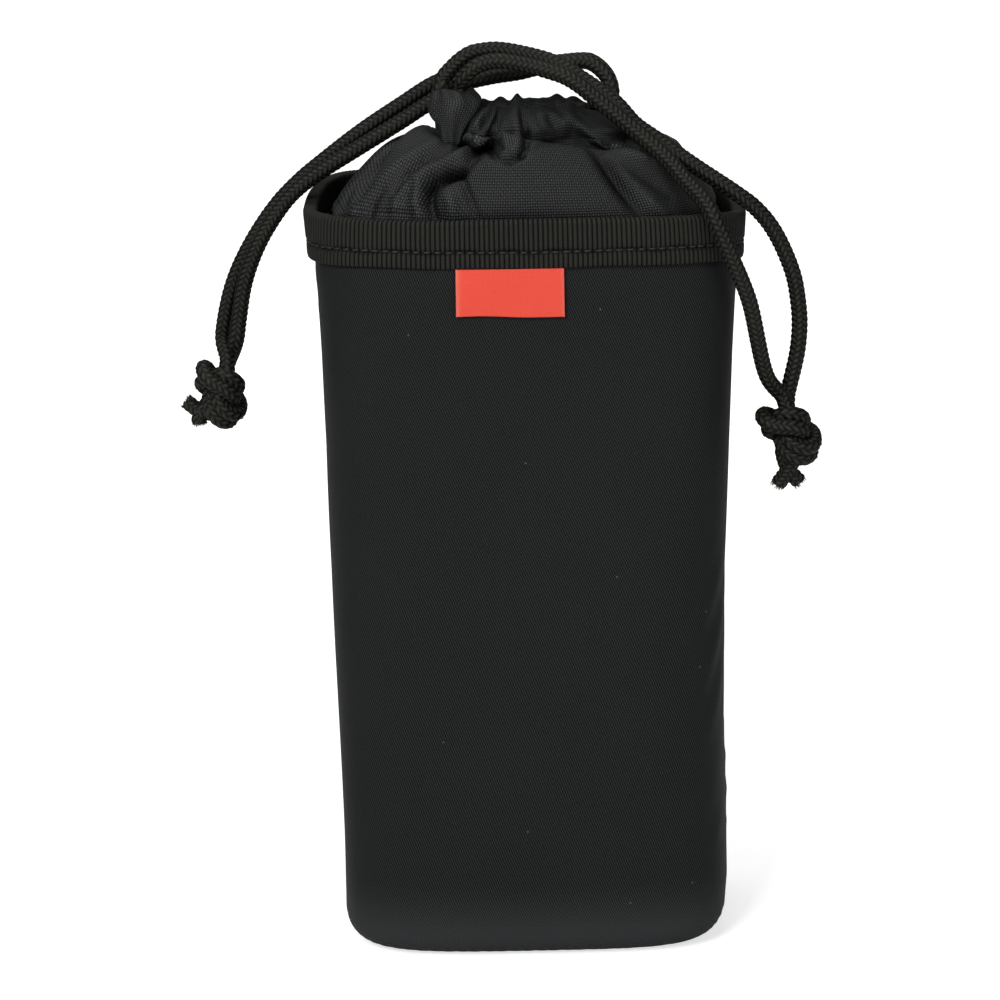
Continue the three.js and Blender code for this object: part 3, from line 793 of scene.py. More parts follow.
def addThread(points, faces, line, radius):
    across, beside = steadyFrames(line)
    start, sides = len(points), stitching["sides"]
    turn = np.linspace(stitching["endTurn"], pi - stitching["endTurn"], len(line))
    swell = np.sin(turn) ** stitching["endPower"]
    for k, spot in enumerate(line):
        for e in range(sides):
            a = 2 * pi * e / sides
            points.append(spot + (across[k] * cos(a) + beside[k] * sin(a)) * radius * swell[k])
    for k in range(len(line) - 1):
        for e in range(sides):
            a, b = start + k * sides + e, start + k * sides + (e + 1) % sides
            faces.append((a, b, b + sides, a + sides))
    faces.append(tuple(start + e for e in reversed(range(sides))))
    faces.append(tuple(start + (len(line) - 1) * sides + e for e in range(sides)))


def makeStitches():
    ring, at, total = bodyRing(stitching["height"], 0.0, stitching["samples"])
    n = outward(ring)
    ring[:, 2] += tapeWave(at, total) * 0.35 + 0.12 * np.sin(at / 13.0)
    points, faces = [], []
    rng = np.random.default_rng(stitching["seed"])
    count, rings = int(total / stitching["pitch"]), stitching["rings"]
    lift = 0.10 - stitching["sink"] - 0.42 * (np.abs(np.linspace(-1, 1, rings)) ** 3)
    slant = np.linspace(-stitching["slant"], stitching["slant"], rings)
    for level, sign in ((tape["out"] - 0.30, 1), (-tape["inside"], -1)):
        for k in range(count):
            middle = (k + 0.5 + rng.uniform(*stitching["uneven"])) / count * total
            span = np.linspace(-0.5, 0.5, rings) * stitching["length"] * rng.uniform(*stitching["stretch"])
            where = (middle + span) % total
            line = np.stack([np.interp(where, at, ring[:, i], period=total) for i in range(3)], 1)
            away = np.stack([np.interp(where, at, n[:, i], period=total) for i in range(3)], 1)
            line = line + away * (level + sign * (lift + 0.22))[:, None]
            line[:, 2] += slant * (1 if rng.uniform() > 0.3 else 0.3)
            addThread(points, faces, line, stitching["thread"])
    return makePiece("tape_stitching", points, faces)


stitchPiece = makeStitches()
print("tape and stitching made")


# folded woven label, sewn in under the tape
label = {
    "left": -16.9, "right": 9.1, "top": 178.3, "drop": 11.2, "gap": 0.35, "thick": 0.75,
    "columns": 70, "rows": 34, "foldRows": 7, "foldFrom": 0.2,
    "stand": 0.55, "sag": -0.32, "soft": 0.10, "flare": 0.12,
    "edge": 0.18, "edgeWide": (0.8, 0.5), "rightEdge": 0.7,
}


def frontSurface(x, z):
    ring, at, total = bodyRing(z, 0.0, pouch["columns"])
    ring = ring + outward(ring) * bodyRelief(at, total, z)[:, None]
    front = ring[pouch["columns"] // 2:]
    return np.interp(x, front[:, 0], front[:, 1])


def makeLabel():
    cols, rows = label["columns"], label["rows"]
    xs = np.linspace(label["left"], label["right"], cols)
    wide = label["right"] - label["left"]
    side = (xs - label["left"]) / wide
    # profile down the back layer, round the fold and up the front one
    down = np.linspace(0, 1, rows)
    grid = []
    fold = label["thick"] / 2
    lines = [(v, 0.0) for v in down[:-1]]
    bend = np.linspace(label["foldFrom"], pi - label["foldFrom"], label["foldRows"])
    lines += [(1.0 + fold / label["drop"] * sin(a), fold - fold * cos(a)) for a in bend]
    lines += [(v, label["thick"]) for v in down[::-1]]
    for v, thick in lines:
        z = label["top"] - label["drop"] * min(v, 1.0) - max(0.0, v - 1.0) * label["drop"]
        lift = label["gap"] + thick + label["stand"] * (max(0.0, v) ** 2) * (0.35 + 0.65 * side ** 3)
        sag = label["sag"] * v * side ** 2 + 0.10 * v * np.sin(side * pi * 2.3)
        soft = label["soft"] * np.sin(side * pi * 3 + v * 2.0) * v
        across = xs + label["flare"] * v * (side - 0.5)
        grid.append(np.column_stack([across, frontSurface(xs, z) - lift - soft, z + sag]))
    n = len(grid)
    piece = makePiece("label_woven", np.array(grid).reshape(-1, 3), gridFaces(n, cols, False))
    setUv(piece, np.column_stack([np.tile(xs, n), np.repeat(measured(np.array(lines) * (label["drop"], 1.0)), cols)]))
    leftWide, rightWide = label["edgeWide"]
    crown = bell(side * wide, leftWide) + label["rightEdge"] * bell((1 - side) * wide, rightWide)
    setShade(piece, "crown", np.tile(crown, n))
    # the woven edges have a thickness
    edge = piece.modifiers.new("edge", "SOLIDIFY")
    edge.thickness = label["edge"] * mm
    edge.offset = -1
    return piece


labelPiece = makeLabel()
print("label made")


# gathered hood: the cloth is drawn in on its cord by simulation, then the casing is folded over it
hood = {
    "hemX": 47.5, "hemY": 29.0, "squareness": 2.9, "mouthSquareness": 2.6,
    "hemLow": 182.0, "hem": 8.0, "slant": 33.0, "topShare": 0.60, "fullness": 1.75,
    "endSlack": (0.26, -0.22), "backTight": 0.14,
    "columns": 160, "rows": 28, "finer": 2, "samples": 3600, "gatherZ": 205.4, "loops": 10, "loopEase": 0.3,
    "hemRings": ((171.0, 1.012), (175.0, 1.006), (179.0, 1.0)),   # height and growth, down to the lining
    # the gathered line and the casing's inner edge: right end, back, left end and front
    "arcPoints": 500, "runPoints": 600,
    "outer": ((13.5, 0.4, 13.4, 8.8), (13.5, 9.2, -13.5, 8.4), (-13.5, -0.4, 5.4, 8.8), (-13.5, -9.2, 13.5, -8.4)),
    "inner": ((18.5, 3.4, 6.0, 5.2), (14.0, 2.2, -12.0, 1.4), (-17.4, -1.9, 4.9, 2.7), (-12.0, -1.8, 14.0, -1.4)),
    # pleats on the gathered line: place along it, width and height
    "frontPleats": ((0.1, 0.22, 0.7), (0.56, 0.8, 0.6), (0.5, 1.6, 0.4)),
    "backPleats": ((0.1, 0.19, 1.3), (0.3, 0.19, 1.1), (0.5, 0.2, 1.4), (0.7, 0.19, 1.1), (0.9, 0.19, 1.4)),
    "endPleats": (0.1, 0.5),
    # lumps along the top of the casing
    "frontLumps": ((0.05, 0.12, 0.6), (0.2, 0.16, 1.0), (0.42, 0.24, 0.8), (0.66, 0.2, 0.5), (0.9, 0.22, 0.9)),
    "backLumps": (
        (0.06, 0.12, 0.7), (0.2, 0.18, 1.2), (0.4, 0.22, 0.6), (0.57, 0.13, 1.2), (0.72, 0.17, 0.7), (0.92, 0.2, 1.1),
    ),
    "endLift": (3.4, -1.5),                                       # left and right
    "shoulder": 7.0, "shoulderOut": 1.2, "shoulderAt": -33.0, "shoulderWide": (15.0, 20.0),
    "scale": 0.02,                                                # the cloth runs at 50 mm to the unit
    "quality": 6, "mass": 0.3, "air": 2.0, "stretch": 30, "shear": 8, "damping": 8, "bendDamping": 1.0,
    "bending": 14.0, "pressure": 2.3, "gravity": 0.2, "draw": 30, "settle": 10,
    "facing": (-0.15, 0.25), "foldsTo": 6.0, "fadeRows": 6, "paintedShadeRange": (-3, 2),
    # where the cords lie behind the folds: up, across and back, and the y that the folds stay in front of
    "cordLow": (203.0, 205.5), "cordHigh": (210.8, 212.6), "cordAcross": (12.5, 18.0), "cordBack": (-3.0, -5.5),
    "cordSide": -7.0,
}

# folds down the front of the hood: width, then (across, up, depth) in mm as seen from the front
hoodFolds = (
    (0.6, ((-2.2, 97.5, 0.0), (-3.7, 94.8, 0.9), (-5.9, 91.4, 1.0), (-8.3, 88.2, 0.8), (-11.2, 86.0, 0.0))),
    (0.6, ((-1.5, 97.0, -0.5), (-2.7, 94.1, -0.9), (-4.6, 90.6, -0.6), (-7.1, 87.7, 0.0), (-9.8, 85.7, 0.0))),
    (0.6, ((-0.5, 96.7, 0.0), (-1.5, 93.8, 0.8), (-3.2, 90.4, 0.9), (-5.4, 87.5, 0.6), (-7.8, 85.5, 0.0))),
    (0.6, ((0.0, 96.3, -0.5), (-1.0, 93.3, -0.9), (-2.7, 90.4, -0.6), (-4.6, 87.7, 0.0), (-6.6, 85.7, 0.0))),
    (1.8, ((2.0, 95.3, 0.0), (1.2, 91.9, 0.5), (0.5, 88.4, 0.9), (0.5, 85.7, 0.9), (1.5, 83.8, 0.2))),
    (1.6, ((4.2, 95.8, 0.0), (4.2, 92.3, 0.5), (4.4, 88.9, 1.0), (4.4, 86.0, 0.9), (3.9, 84.0, 0.2))),
    (0.9, (
        (1.2, 95.8, -0.2), (-0.5, 91.9, -0.5), (-2.2, 87.9, -0.6), (-2.2, 85.3, -0.8), (-0.2, 82.8, -0.8),
        (2.9, 82.6, -0.9), (5.6, 84.3, -1.1),
    )),
    (0.9, ((5.1, 96.3, -0.5), (5.6, 93.3, -1.3), (6.4, 89.9, -1.9), (6.6, 87.0, -1.8), (5.4, 84.3, -0.9))),
    (0.8, ((7.3, 85.5, -0.4), (11.0, 87.0, -0.5), (16.6, 88.2, -0.3))),
    (0.5, ((8.3, 94.8, -0.2), (9.8, 91.9, -0.6), (11.7, 88.9, -0.3))),
    (0.5, ((10.3, 95.3, -0.2), (12.7, 92.3, -0.6), (14.7, 89.4, -0.3))),
    (1.8, (
        (14.7, 94.8, -0.2), (16.6, 92.3, -0.4), (19.1, 89.9, -0.5), (22.0, 87.2, -0.9), (24.7, 84.0, -1.9),
        (26.9, 80.9, -2.8), (29.3, 77.2, -2.8), (32.0, 73.3, -2.0), (34.7, 69.4, -1.0),
    )),
    (1.1, (
        (14.7, 96.3, 0.0), (17.6, 93.1, 1.0), (21.0, 89.9, 1.6), (25.4, 87.2, 1.6), (30.3, 85.5, 1.4),
        (35.4, 83.6, 0.8),
    )),
    (0.7, ((9.8, 94.8, 0.4), (12.7, 94.3, 0.8), (15.1, 92.8, 0.8), (16.6, 91.1, 0.3))),
    (1.5, ((34.2, 75.7, 0.2), (37.1, 72.8, 0.9), (40.1, 69.9, 0.7))),
    (1.5, ((28.8, 83.1, -0.3), (32.7, 80.6, -0.8), (37.1, 77.7, -1.0), (41.5, 74.3, -0.6))),
    (0.8, ((-6.8, 87.7, -0.1), (-10.7, 86.0, -1.2), (-13.7, 84.3, -1.6), (-17.1, 82.3, -1.0), (-20.0, 80.1, -0.4))),
    (1.1, ((-4.4, 87.2, 0.4), (-8.3, 85.5, 1.0), (-11.7, 83.6, 1.2), (-15.6, 82.1, 1.0), (-18.6, 80.6, 0.6))),
    (1.2, (
        (-1.7, 86.5, -0.2), (-4.4, 85.5, -0.8), (-7.3, 83.3, -2.2), (-10.0, 80.4, -3.0), (-12.9, 79.6, -2.8),
        (-15.6, 78.7, -2.4), (-17.1, 76.0, -2.6), (-17.1, 72.6, -2.2), (-16.1, 68.6, -1.2),
    )),
    (2.0, ((-12.9, 75.0, 1.0), (-12.0, 72.6, 1.6), (-11.5, 69.4, 1.0))),
    (2.0, ((-10.3, 80.4, -1.6), (-13.2, 79.2, -2.4), (-15.4, 77.4, -1.6))),
    (1.0, ((-9.8, 79.6, -0.7), (-8.3, 76.0, -0.9), (-6.8, 72.3, -0.7), (-5.4, 68.9, -0.4))),
    (1.5, ((-17.6, 81.6, 0.6), (-19.8, 78.2, 1.2), (-20.5, 73.3, 1.2), (-20.0, 68.9, 0.8))),
    (1.2, ((-15.6, 87.7, 0.4), (-20.5, 85.0, 1.0), (-25.4, 81.8, 1.0), (-29.8, 77.9, 0.4))),
    (1.0, ((-13.2, 86.5, -0.6), (-18.1, 83.6, -1.3), (-22.2, 80.1, -1.4), (-25.4, 75.7, -0.7))),
    (1.2, ((-19.3, 80.9, 0.3), (-23.0, 77.4, 0.9), (-25.2, 73.3, 0.9), (-26.1, 68.9, 0.5))),
    (1.0, ((-28.8, 76.2, -0.3), (-31.0, 72.3, -1.0), (-32.0, 68.6, -0.7))),
    (1.1, ((-34.2, 76.7, 0.3), (-35.7, 72.8, 0.8), (-36.2, 68.6, 0.6))),
    (1.0, ((-31.3, 72.1, 0.0), (-25.7, 71.6, 0.5), (-20.0, 72.1, 0.3))),
    (1.7, ((-7.3, 88.9, 0.3), (-5.6, 87.7, 0.8), (-3.7, 86.7, 0.8), (-2.0, 85.5, 0.3))),
)


def plainRing(halfX, halfY, squareness, count):
    x, y, d = squaredRing(halfX, halfY, 2 / squareness, hood["samples"])
    at = np.arange(count) / count * d[-1]
    return np.stack([np.interp(at, d, x), np.interp(at, d, y)], 1)


def endArc(cx, cy, rx, ry, start):
    a = start + np.linspace(0, pi, hood["arcPoints"], endpoint=False)
    return np.stack([cx + rx * np.cos(a), cy + ry * np.sin(a)], 1)


def straightRun(x0, y0, x1, y1):
    count = hood["runPoints"]
    return np.stack([np.linspace(x0, x1, count, endpoint=False), np.linspace(y0, y1, count, endpoint=False)], 1)


def mouthRing(rightEnd, backRun, leftEnd, frontRun):
    return np.vstack([
        endArc(*rightEnd, -pi / 2), straightRun(*backRun), endArc(*leftEnd, pi / 2), straightRun(*frontRun),
    ])


def bumpsAlong(bumps, pos):
    out = np.zeros(len(pos))
    for place, width, height in bumps:
        off = np.abs(pos - place) / width
        out += np.where(off < 0.5, height * (0.5 + 0.5 * np.cos(2 * pi * off)), 0.0)
    return out


def eased(values, reach):
    # soft average round a closed row
    k = np.arange(-3 * reach, 3 * reach + 1)
    weight = bell(k, reach)
    weight /= weight.sum()
    out = np.zeros(values.shape)
    for step, share in zip(k, weight):
        out += share * np.roll(values, step, axis=0)
    return out


def mouthLoop(share, count, length):
    # the gathered line round the mouth, and the inner edge of the casing beside it
    arc, run = hood["arcPoints"], hood["runPoints"]
    top = hood["topShare"]
    wide = plainRing(hood["hemX"] * top, hood["hemY"] * top, hood["mouthSquareness"], 2 * (arc + run))
    zone = np.concatenate([np.zeros(arc), np.ones(run)] * 2)
    pos = np.concatenate([np.linspace(0, 1, part, endpoint=False) for part in (arc, run)] * 2)
    rings = mouthRing(*hood["outer"]), mouthRing(*hood["inner"]), zone, pos
    outer, inner, zone, pos = (np.roll(values, -arc // 2, axis=0) for values in rings)
    smoothInner = inner.copy()
    for _ in range(60):
        smoothInner = (np.roll(smoothInner, 8, axis=0) + smoothInner + np.roll(smoothInner, -8, axis=0)) / 3
    base = wide * (1 - share) + eased(outer, 20) * share
    back = outer[:, 1] > 0.5
    front, rear = (zone > 0) & ~back, (zone > 0) & back

    def bumps(kind):
        ahead, behind = bumpsAlong(hood["front" + kind], pos), bumpsAlong(hood["back" + kind], pos)
        return np.where(front, ahead, 0) + np.where(rear, behind, 0)

    # slack folds round the two ends
    slack = np.where(outer[:, 0] < 0, *hood["endPleats"])
    ends = slack * (0.5 - 0.5 * np.cos(2 * pi * pos * 3)) * np.sin(pos * pi) ** 0.5
    wave = eased(bumps("Pleats") + np.where(zone > 0, 0.0, ends), 10)
    lumps = bumps("Lumps")
    t = np.roll(base, -1, axis=0) - np.roll(base, 1, axis=0)
    t /= np.linalg.norm(t, axis=1)[:, None]
    away = np.stack([t[:, 1], -t[:, 0]], 1)
    low, high = 0.0, 14.0
    for _ in range(40):
        reach = (low + high) / 2
        q = base + away * (wave * reach)[:, None]
        total = np.linalg.norm(np.roll(q, -1, axis=0) - q, axis=1).sum()
        low, high = (reach, high) if total < length else (low, reach)
    q = base + away * (wave * low)[:, None]
    leftLift, rightLift = hood["endLift"]
    ends = np.where(base[:, 0] < 0, leftLift * (1 - smoothStep(0.4, 0.75, pos)), rightLift)
    lift = eased(np.where(zone > 0, 0.0, np.sin(pos * pi) ** 2 * ends), 20) * share
    near = smoothInner + away * (eased(lumps, 12) * 0.5 - 0.3)[:, None]
    closed = np.vstack([q, q[:1]])
    d = measured(closed)
    at = np.arange(count) / count * d[-1]

    def pick(values):
        looped = np.concatenate([values, values[:1]])
        return np.interp(at, d, looped)

    end = eased(1 - zone, 40)
    return {
        "outer": np.stack([pick(q[:, 0]), pick(q[:, 1]), pick(lift)], 1),
        "inner": np.stack([pick(near[:, 0]), pick(near[:, 1])], 1),
        "lumps": pick(eased(lumps, 10)),
        "left": pick(smoothStep(-8.5, -12.5, base[:, 0])),
        "right": pick(end * (base[:, 0] > 0)),
    }


def drawHood(grid, loops):
    # runs the cloth: the hem is held, and the gathered row is drawn in
    rows, cols = grid.shape[:2]
    cloth = bpy.data.meshes.new("hood_run")
    cloth.from_pydata((grid.reshape(-1, 3) * hood["scale"]).tolist(), [], gridFaces(rows, cols, True))
    run = bpy.data.objects.new("hood_run", cloth)
    scene.collection.objects.link(run)
    held = run.vertex_groups.new(name="held")
    hemRows = int((hood["hem"] - 1.0) / (hood["hem"] + hood["slant"]) * (rows - 1)) + 1
    held.add(list(range(hemRows * cols)) + list(range((rows - 1) * cols, rows * cols)), 1.0, "REPLACE")
    run.shape_key_add(name="flat")
    step = hood["draw"] / len(loops)
    for k, loop in enumerate(loops, 1):
        key = run.shape_key_add(name="draw%d" % k)
        spots = grid.copy()
        spots[-1] = loop
        key.data.foreach_set("co", spots.ravel() * hood["scale"])
        at = 1 + step * k
        for value, when in ((0, at - step), (1, at)) + (((0, at + step),) if k < len(loops) else ()):
            key.value = value
            key.keyframe_insert("value", frame=when)
    for curve in run.data.shape_keys.animation_data.action.fcurves:
        for spot in curve.keyframe_points:
            spot.interpolation = "LINEAR"
    cover = run.modifiers.new("cloth", "CLOTH")
    how = cover.settings
    how.quality, how.mass, how.air_damping = hood["quality"], hood["mass"], hood["air"]
    how.tension_stiffness = how.compression_stiffness = hood["stretch"]
    how.shear_stiffness, how.bending_stiffness = hood["shear"], hood["bending"]
    how.tension_damping = how.compression_damping = how.shear_damping = hood["damping"]
    how.bending_damping = hood["bendDamping"]
    how.vertex_group_mass, how.pin_stiffness = "held", 1.0
    how.use_pressure, how.uniform_pressure_force = True, hood["pressure"]
    how.effector_weights.gravity = hood["gravity"]
    cover.collision_settings.use_collision = False
    cover.collision_settings.use_self_collision = False
    last = hood["draw"] + hood["settle"] + 1
    cover.point_cache.frame_start, cover.point_cache.frame_end = 1, last
    for k in range(1, last + 1):
        scene.frame_set(k)
    done = run.evaluated_get(bpy.context.evaluated_depsgraph_get())
    shape = done.to_mesh()
    out = np.empty(len(shape.vertices) * 3)
    shape.vertices.foreach_get("co", out)
    done.to_mesh_clear()
    keys = run.data.shape_keys
    bpy.data.actions.remove(keys.animation_data.action)
    bpy.data.objects.remove(run)
    bpy.data.meshes.remove(cloth)
    scene.frame_set(1)
    return out.reshape(rows, cols, 3) / hood["scale"]


def doubled(grid):
    # a smooth new column and row between each two
    rows, cols = grid.shape[:2]
    between = (9 * (grid + np.roll(grid, -1, 1)) - np.roll(grid, 1, 1) - np.roll(grid, -2, 1)) / 16
    wide = np.stack([grid, between], 2).reshape(rows, 2 * cols, 3)
    p = np.concatenate([2 * wide[:1] - wide[1:2], wide, 2 * wide[-1:] - wide[-2:-1]])
    between = (9 * (p[1:-2] + p[2:-1]) - p[:-3] - p[3:]) / 16
    out = np.empty((2 * rows - 1, 2 * cols, 3))
    out[0::2], out[1::2] = wide, between
    return out


# the casing stands on the gathered line, swells round its cords and turns down inside
casingForm = {
    # along the runs, at the left end and at the right
    "tall": (7.6, 6.6, 5.6), "bulge": (0.2, 0.5, 0.3), "plump": (0.5, 0.5, 0.3),
    "lumpTall": 1.3, "lumpBulge": 0.9, "uneven": 0.3, "level": 0.5,
    "between": (0.0, 0.33, 0.67),
    "outside": 17,          # rows that show from outside
}


def casingRows(gather, loop):
    cols = len(gather)
    inner = loop["inner"]
    across = gather[:, :2] - inner
    wide = np.linalg.norm(across, axis=1)
    n = eased(np.column_stack([across / wide[:, None], np.zeros(cols)]), 8)
    n /= np.linalg.norm(n, axis=1)[:, None]
    up = np.array([0, 0, 1.0])
    left, right, lumps = loop["left"], loop["right"], loop["lumps"]
    angle = np.arange(cols) / cols * 2 * pi
    uneven = casingForm["uneven"] * (0.5 * np.sin(angle * 9 + 1.0) + 0.4 * np.sin(angle * 17 + 0.3))
    run = 1 - left - right
    a, b, c = casingForm["tall"]
    tall = run * (a + casingForm["lumpTall"] * lumps + uneven) + left * (b + uneven) + right * (c + uneven)
    tall = tall - eased(gather[:, 2] - hood["gatherZ"], 6) * casingForm["level"]
    a, b, c = casingForm["bulge"]
    bulge = run * (a + casingForm["lumpBulge"] * lumps) + left * b + right * c
    a, b, c = casingForm["plump"]
    plump = run * a + left * b + right * c
    w = wide[:, None]
    h = tall[:, None] * up
    inside = np.column_stack([inner, gather[:, 2]])
    b = n * bulge[:, None]
    s = plump[:, None]
    control = [
        gather, gather + b * 0.45 + h * 0.14, gather + b * 0.95 + h * 0.4,
        gather + b - n * w * (1 - s) * 0.32 + h * 0.66,
        gather + b * 0.6 - n * w * (1 - s) * 0.75 + h * 0.88, gather - n * w * (0.42 + 0.3 * (1 - s)) + h,
        gather - n * w * 0.86 + h * 0.9, inside + h * 0.55, inside + n * 0.2 - up * 1.0, inside + n * 0.5 - up * 5.0,
    ]
    p = np.array([2 * control[0] - control[1]] + control + [2 * control[-1] - control[-2]])
    out = []
    for k in range(1, len(p) - 2):
        a, b, c, d = p[k - 1], p[k], p[k + 1], p[k + 2]
        for t in casingForm["between"]:
            curve = 2 * b + (c - a) * t + (2 * a - 5 * b + 4 * c - d) * t * t + (3 * b - a - 3 * c + d) * t ** 3
            out.append(0.5 * curve)
    out.append(control[-1])
    return np.array(out[1:]), casingForm["outside"]


def facingOut(grid):
    across = np.roll(grid, -1, 1) - np.roll(grid, 1, 1)
    along = np.gradient(grid, axis=0)
    n = np.cross(across, along)
    return n / (np.linalg.norm(n, axis=2)[:, :, None] + 1e-9)


def seenFromFront(spots):
    # across and up from the middle of the view, in mm at the mouth
    e, r = radians(viewpoint["elevation"]), radians(viewpoint["roll"])
    off = spots - np.array(viewpoint["focus"])
    near = viewpoint["toMouth"] / (viewpoint["distance"] + off[..., 1] * cos(e) - off[..., 2] * sin(e))
    x, w = off[..., 0] * near, (off[..., 1] * sin(e) + off[..., 2] * cos(e)) * near
    return x * cos(r) - w * sin(r), x * sin(r) + w * cos(r)


def foldRelief(across, up):
    out = np.zeros(across.shape)
    for width, line in hoodFolds:
        best = np.full(across.shape, 1e9)
        deep = np.zeros(across.shape)
        for (ax, ay, ad), (bx, by, bd) in zip(line, line[1:]):
            dx, dy = bx - ax, by - ay
            t = np.clip(((across - ax) * dx + (up - ay) * dy) / (dx * dx + dy * dy), 0, 1)
            gap = (across - ax - t * dx) ** 2 + (up - ay - t * dy) ** 2
            closer = gap < best
            best = np.where(closer, gap, best)
            deep = np.where(closer, ad + (bd - ad) * t, deep)
        out += deep * np.exp(-best / width ** 2)
    return out


# puffed outlet at the left end: height, middle and half-widths of each ring
outlet = {
    "columns": 96, "rows": 60, "round": 34,
    "rings": (
        (203.6, -17.4, -11.0, 0.8, 0.6), (205.2, -17.4, -11.0, 2.0, 1.3), (207.0, -17.3, -10.0, 2.7, 2.2),
        (209.2, -17.0, -8.6, 3.7, 3.3), (211.0, -17.1, -7.2, 5.0, 4.4), (212.9, -16.9, -5.8, 6.0, 5.0),
        (214.8, -16.5, -4.6, 6.1, 4.7), (216.2, -16.9, -3.6, 5.3, 3.9), (217.2, -17.5, -2.7, 4.7, 2.9),
        (217.0, -17.7, -2.2, 4.4, 2.4), (215.2, -17.8, -2.0, 4.3, 2.3),
    ),
    # shade: how strongly the pleats are painted darker where they sink in and lighter where they stand out
    "tipPleat": 0.13, "mouthPleat": 0.07, "soft": (0.05, 0.035), "uneven": 0.35, "shade": 9,
}


def makeOutlet():
    rows, cols = outlet["rows"], outlet["columns"]
    key = np.array(outlet["rings"])
    line = throughPoints(np.column_stack([key, measured(key[:, [0, 3]])]), 0.05)
    rings = evenly(line, rows)[:, :5]
    turn = np.arange(cols) / cols * 2 * pi
    grid, shade = [], []
    for k, (z, x, y, halfX, halfY) in enumerate(rings):
        t = k / (rows - 1)
        # pleats run up from the tip and in at the mouth
        pleat = outlet["tipPleat"] * np.sin(7 * turn + 2.0 * t) * bell(t, 0.3)
        pleat = pleat + outlet["mouthPleat"] * np.sin(9 * turn + 1.0) * smoothStep(0.6, 0.85, t)
        slow, quick = outlet["soft"]
        soft = slow * np.sin(2 * turn + 4 * t) + quick * np.sin(5 * turn - 6 * t + 0.7)
        size = 1 + (pleat + soft) * (1 - smoothStep(0.85, 1.0, t))
        up = z + outlet["uneven"] * np.sin(3 * turn + 1) * smoothStep(0.3, 0.6, t)
        grid.append(np.column_stack([x + halfX * size * np.cos(turn), y + halfY * size * np.sin(turn), up]))
        # painted shade: where the pleats sink in the cloth is darker, and where they stand out it is lighter
        shade.append((size - 1) * outlet["shade"])
    u = np.tile(np.linspace(0, outlet["round"], cols + 1), (rows, 1))
    v = np.repeat(measured(rings[:, [0, 2, 4]])[:, None], cols, axis=1)
    return np.array(grid), gridUv(rows, cols, u, v, True), np.array(shade)


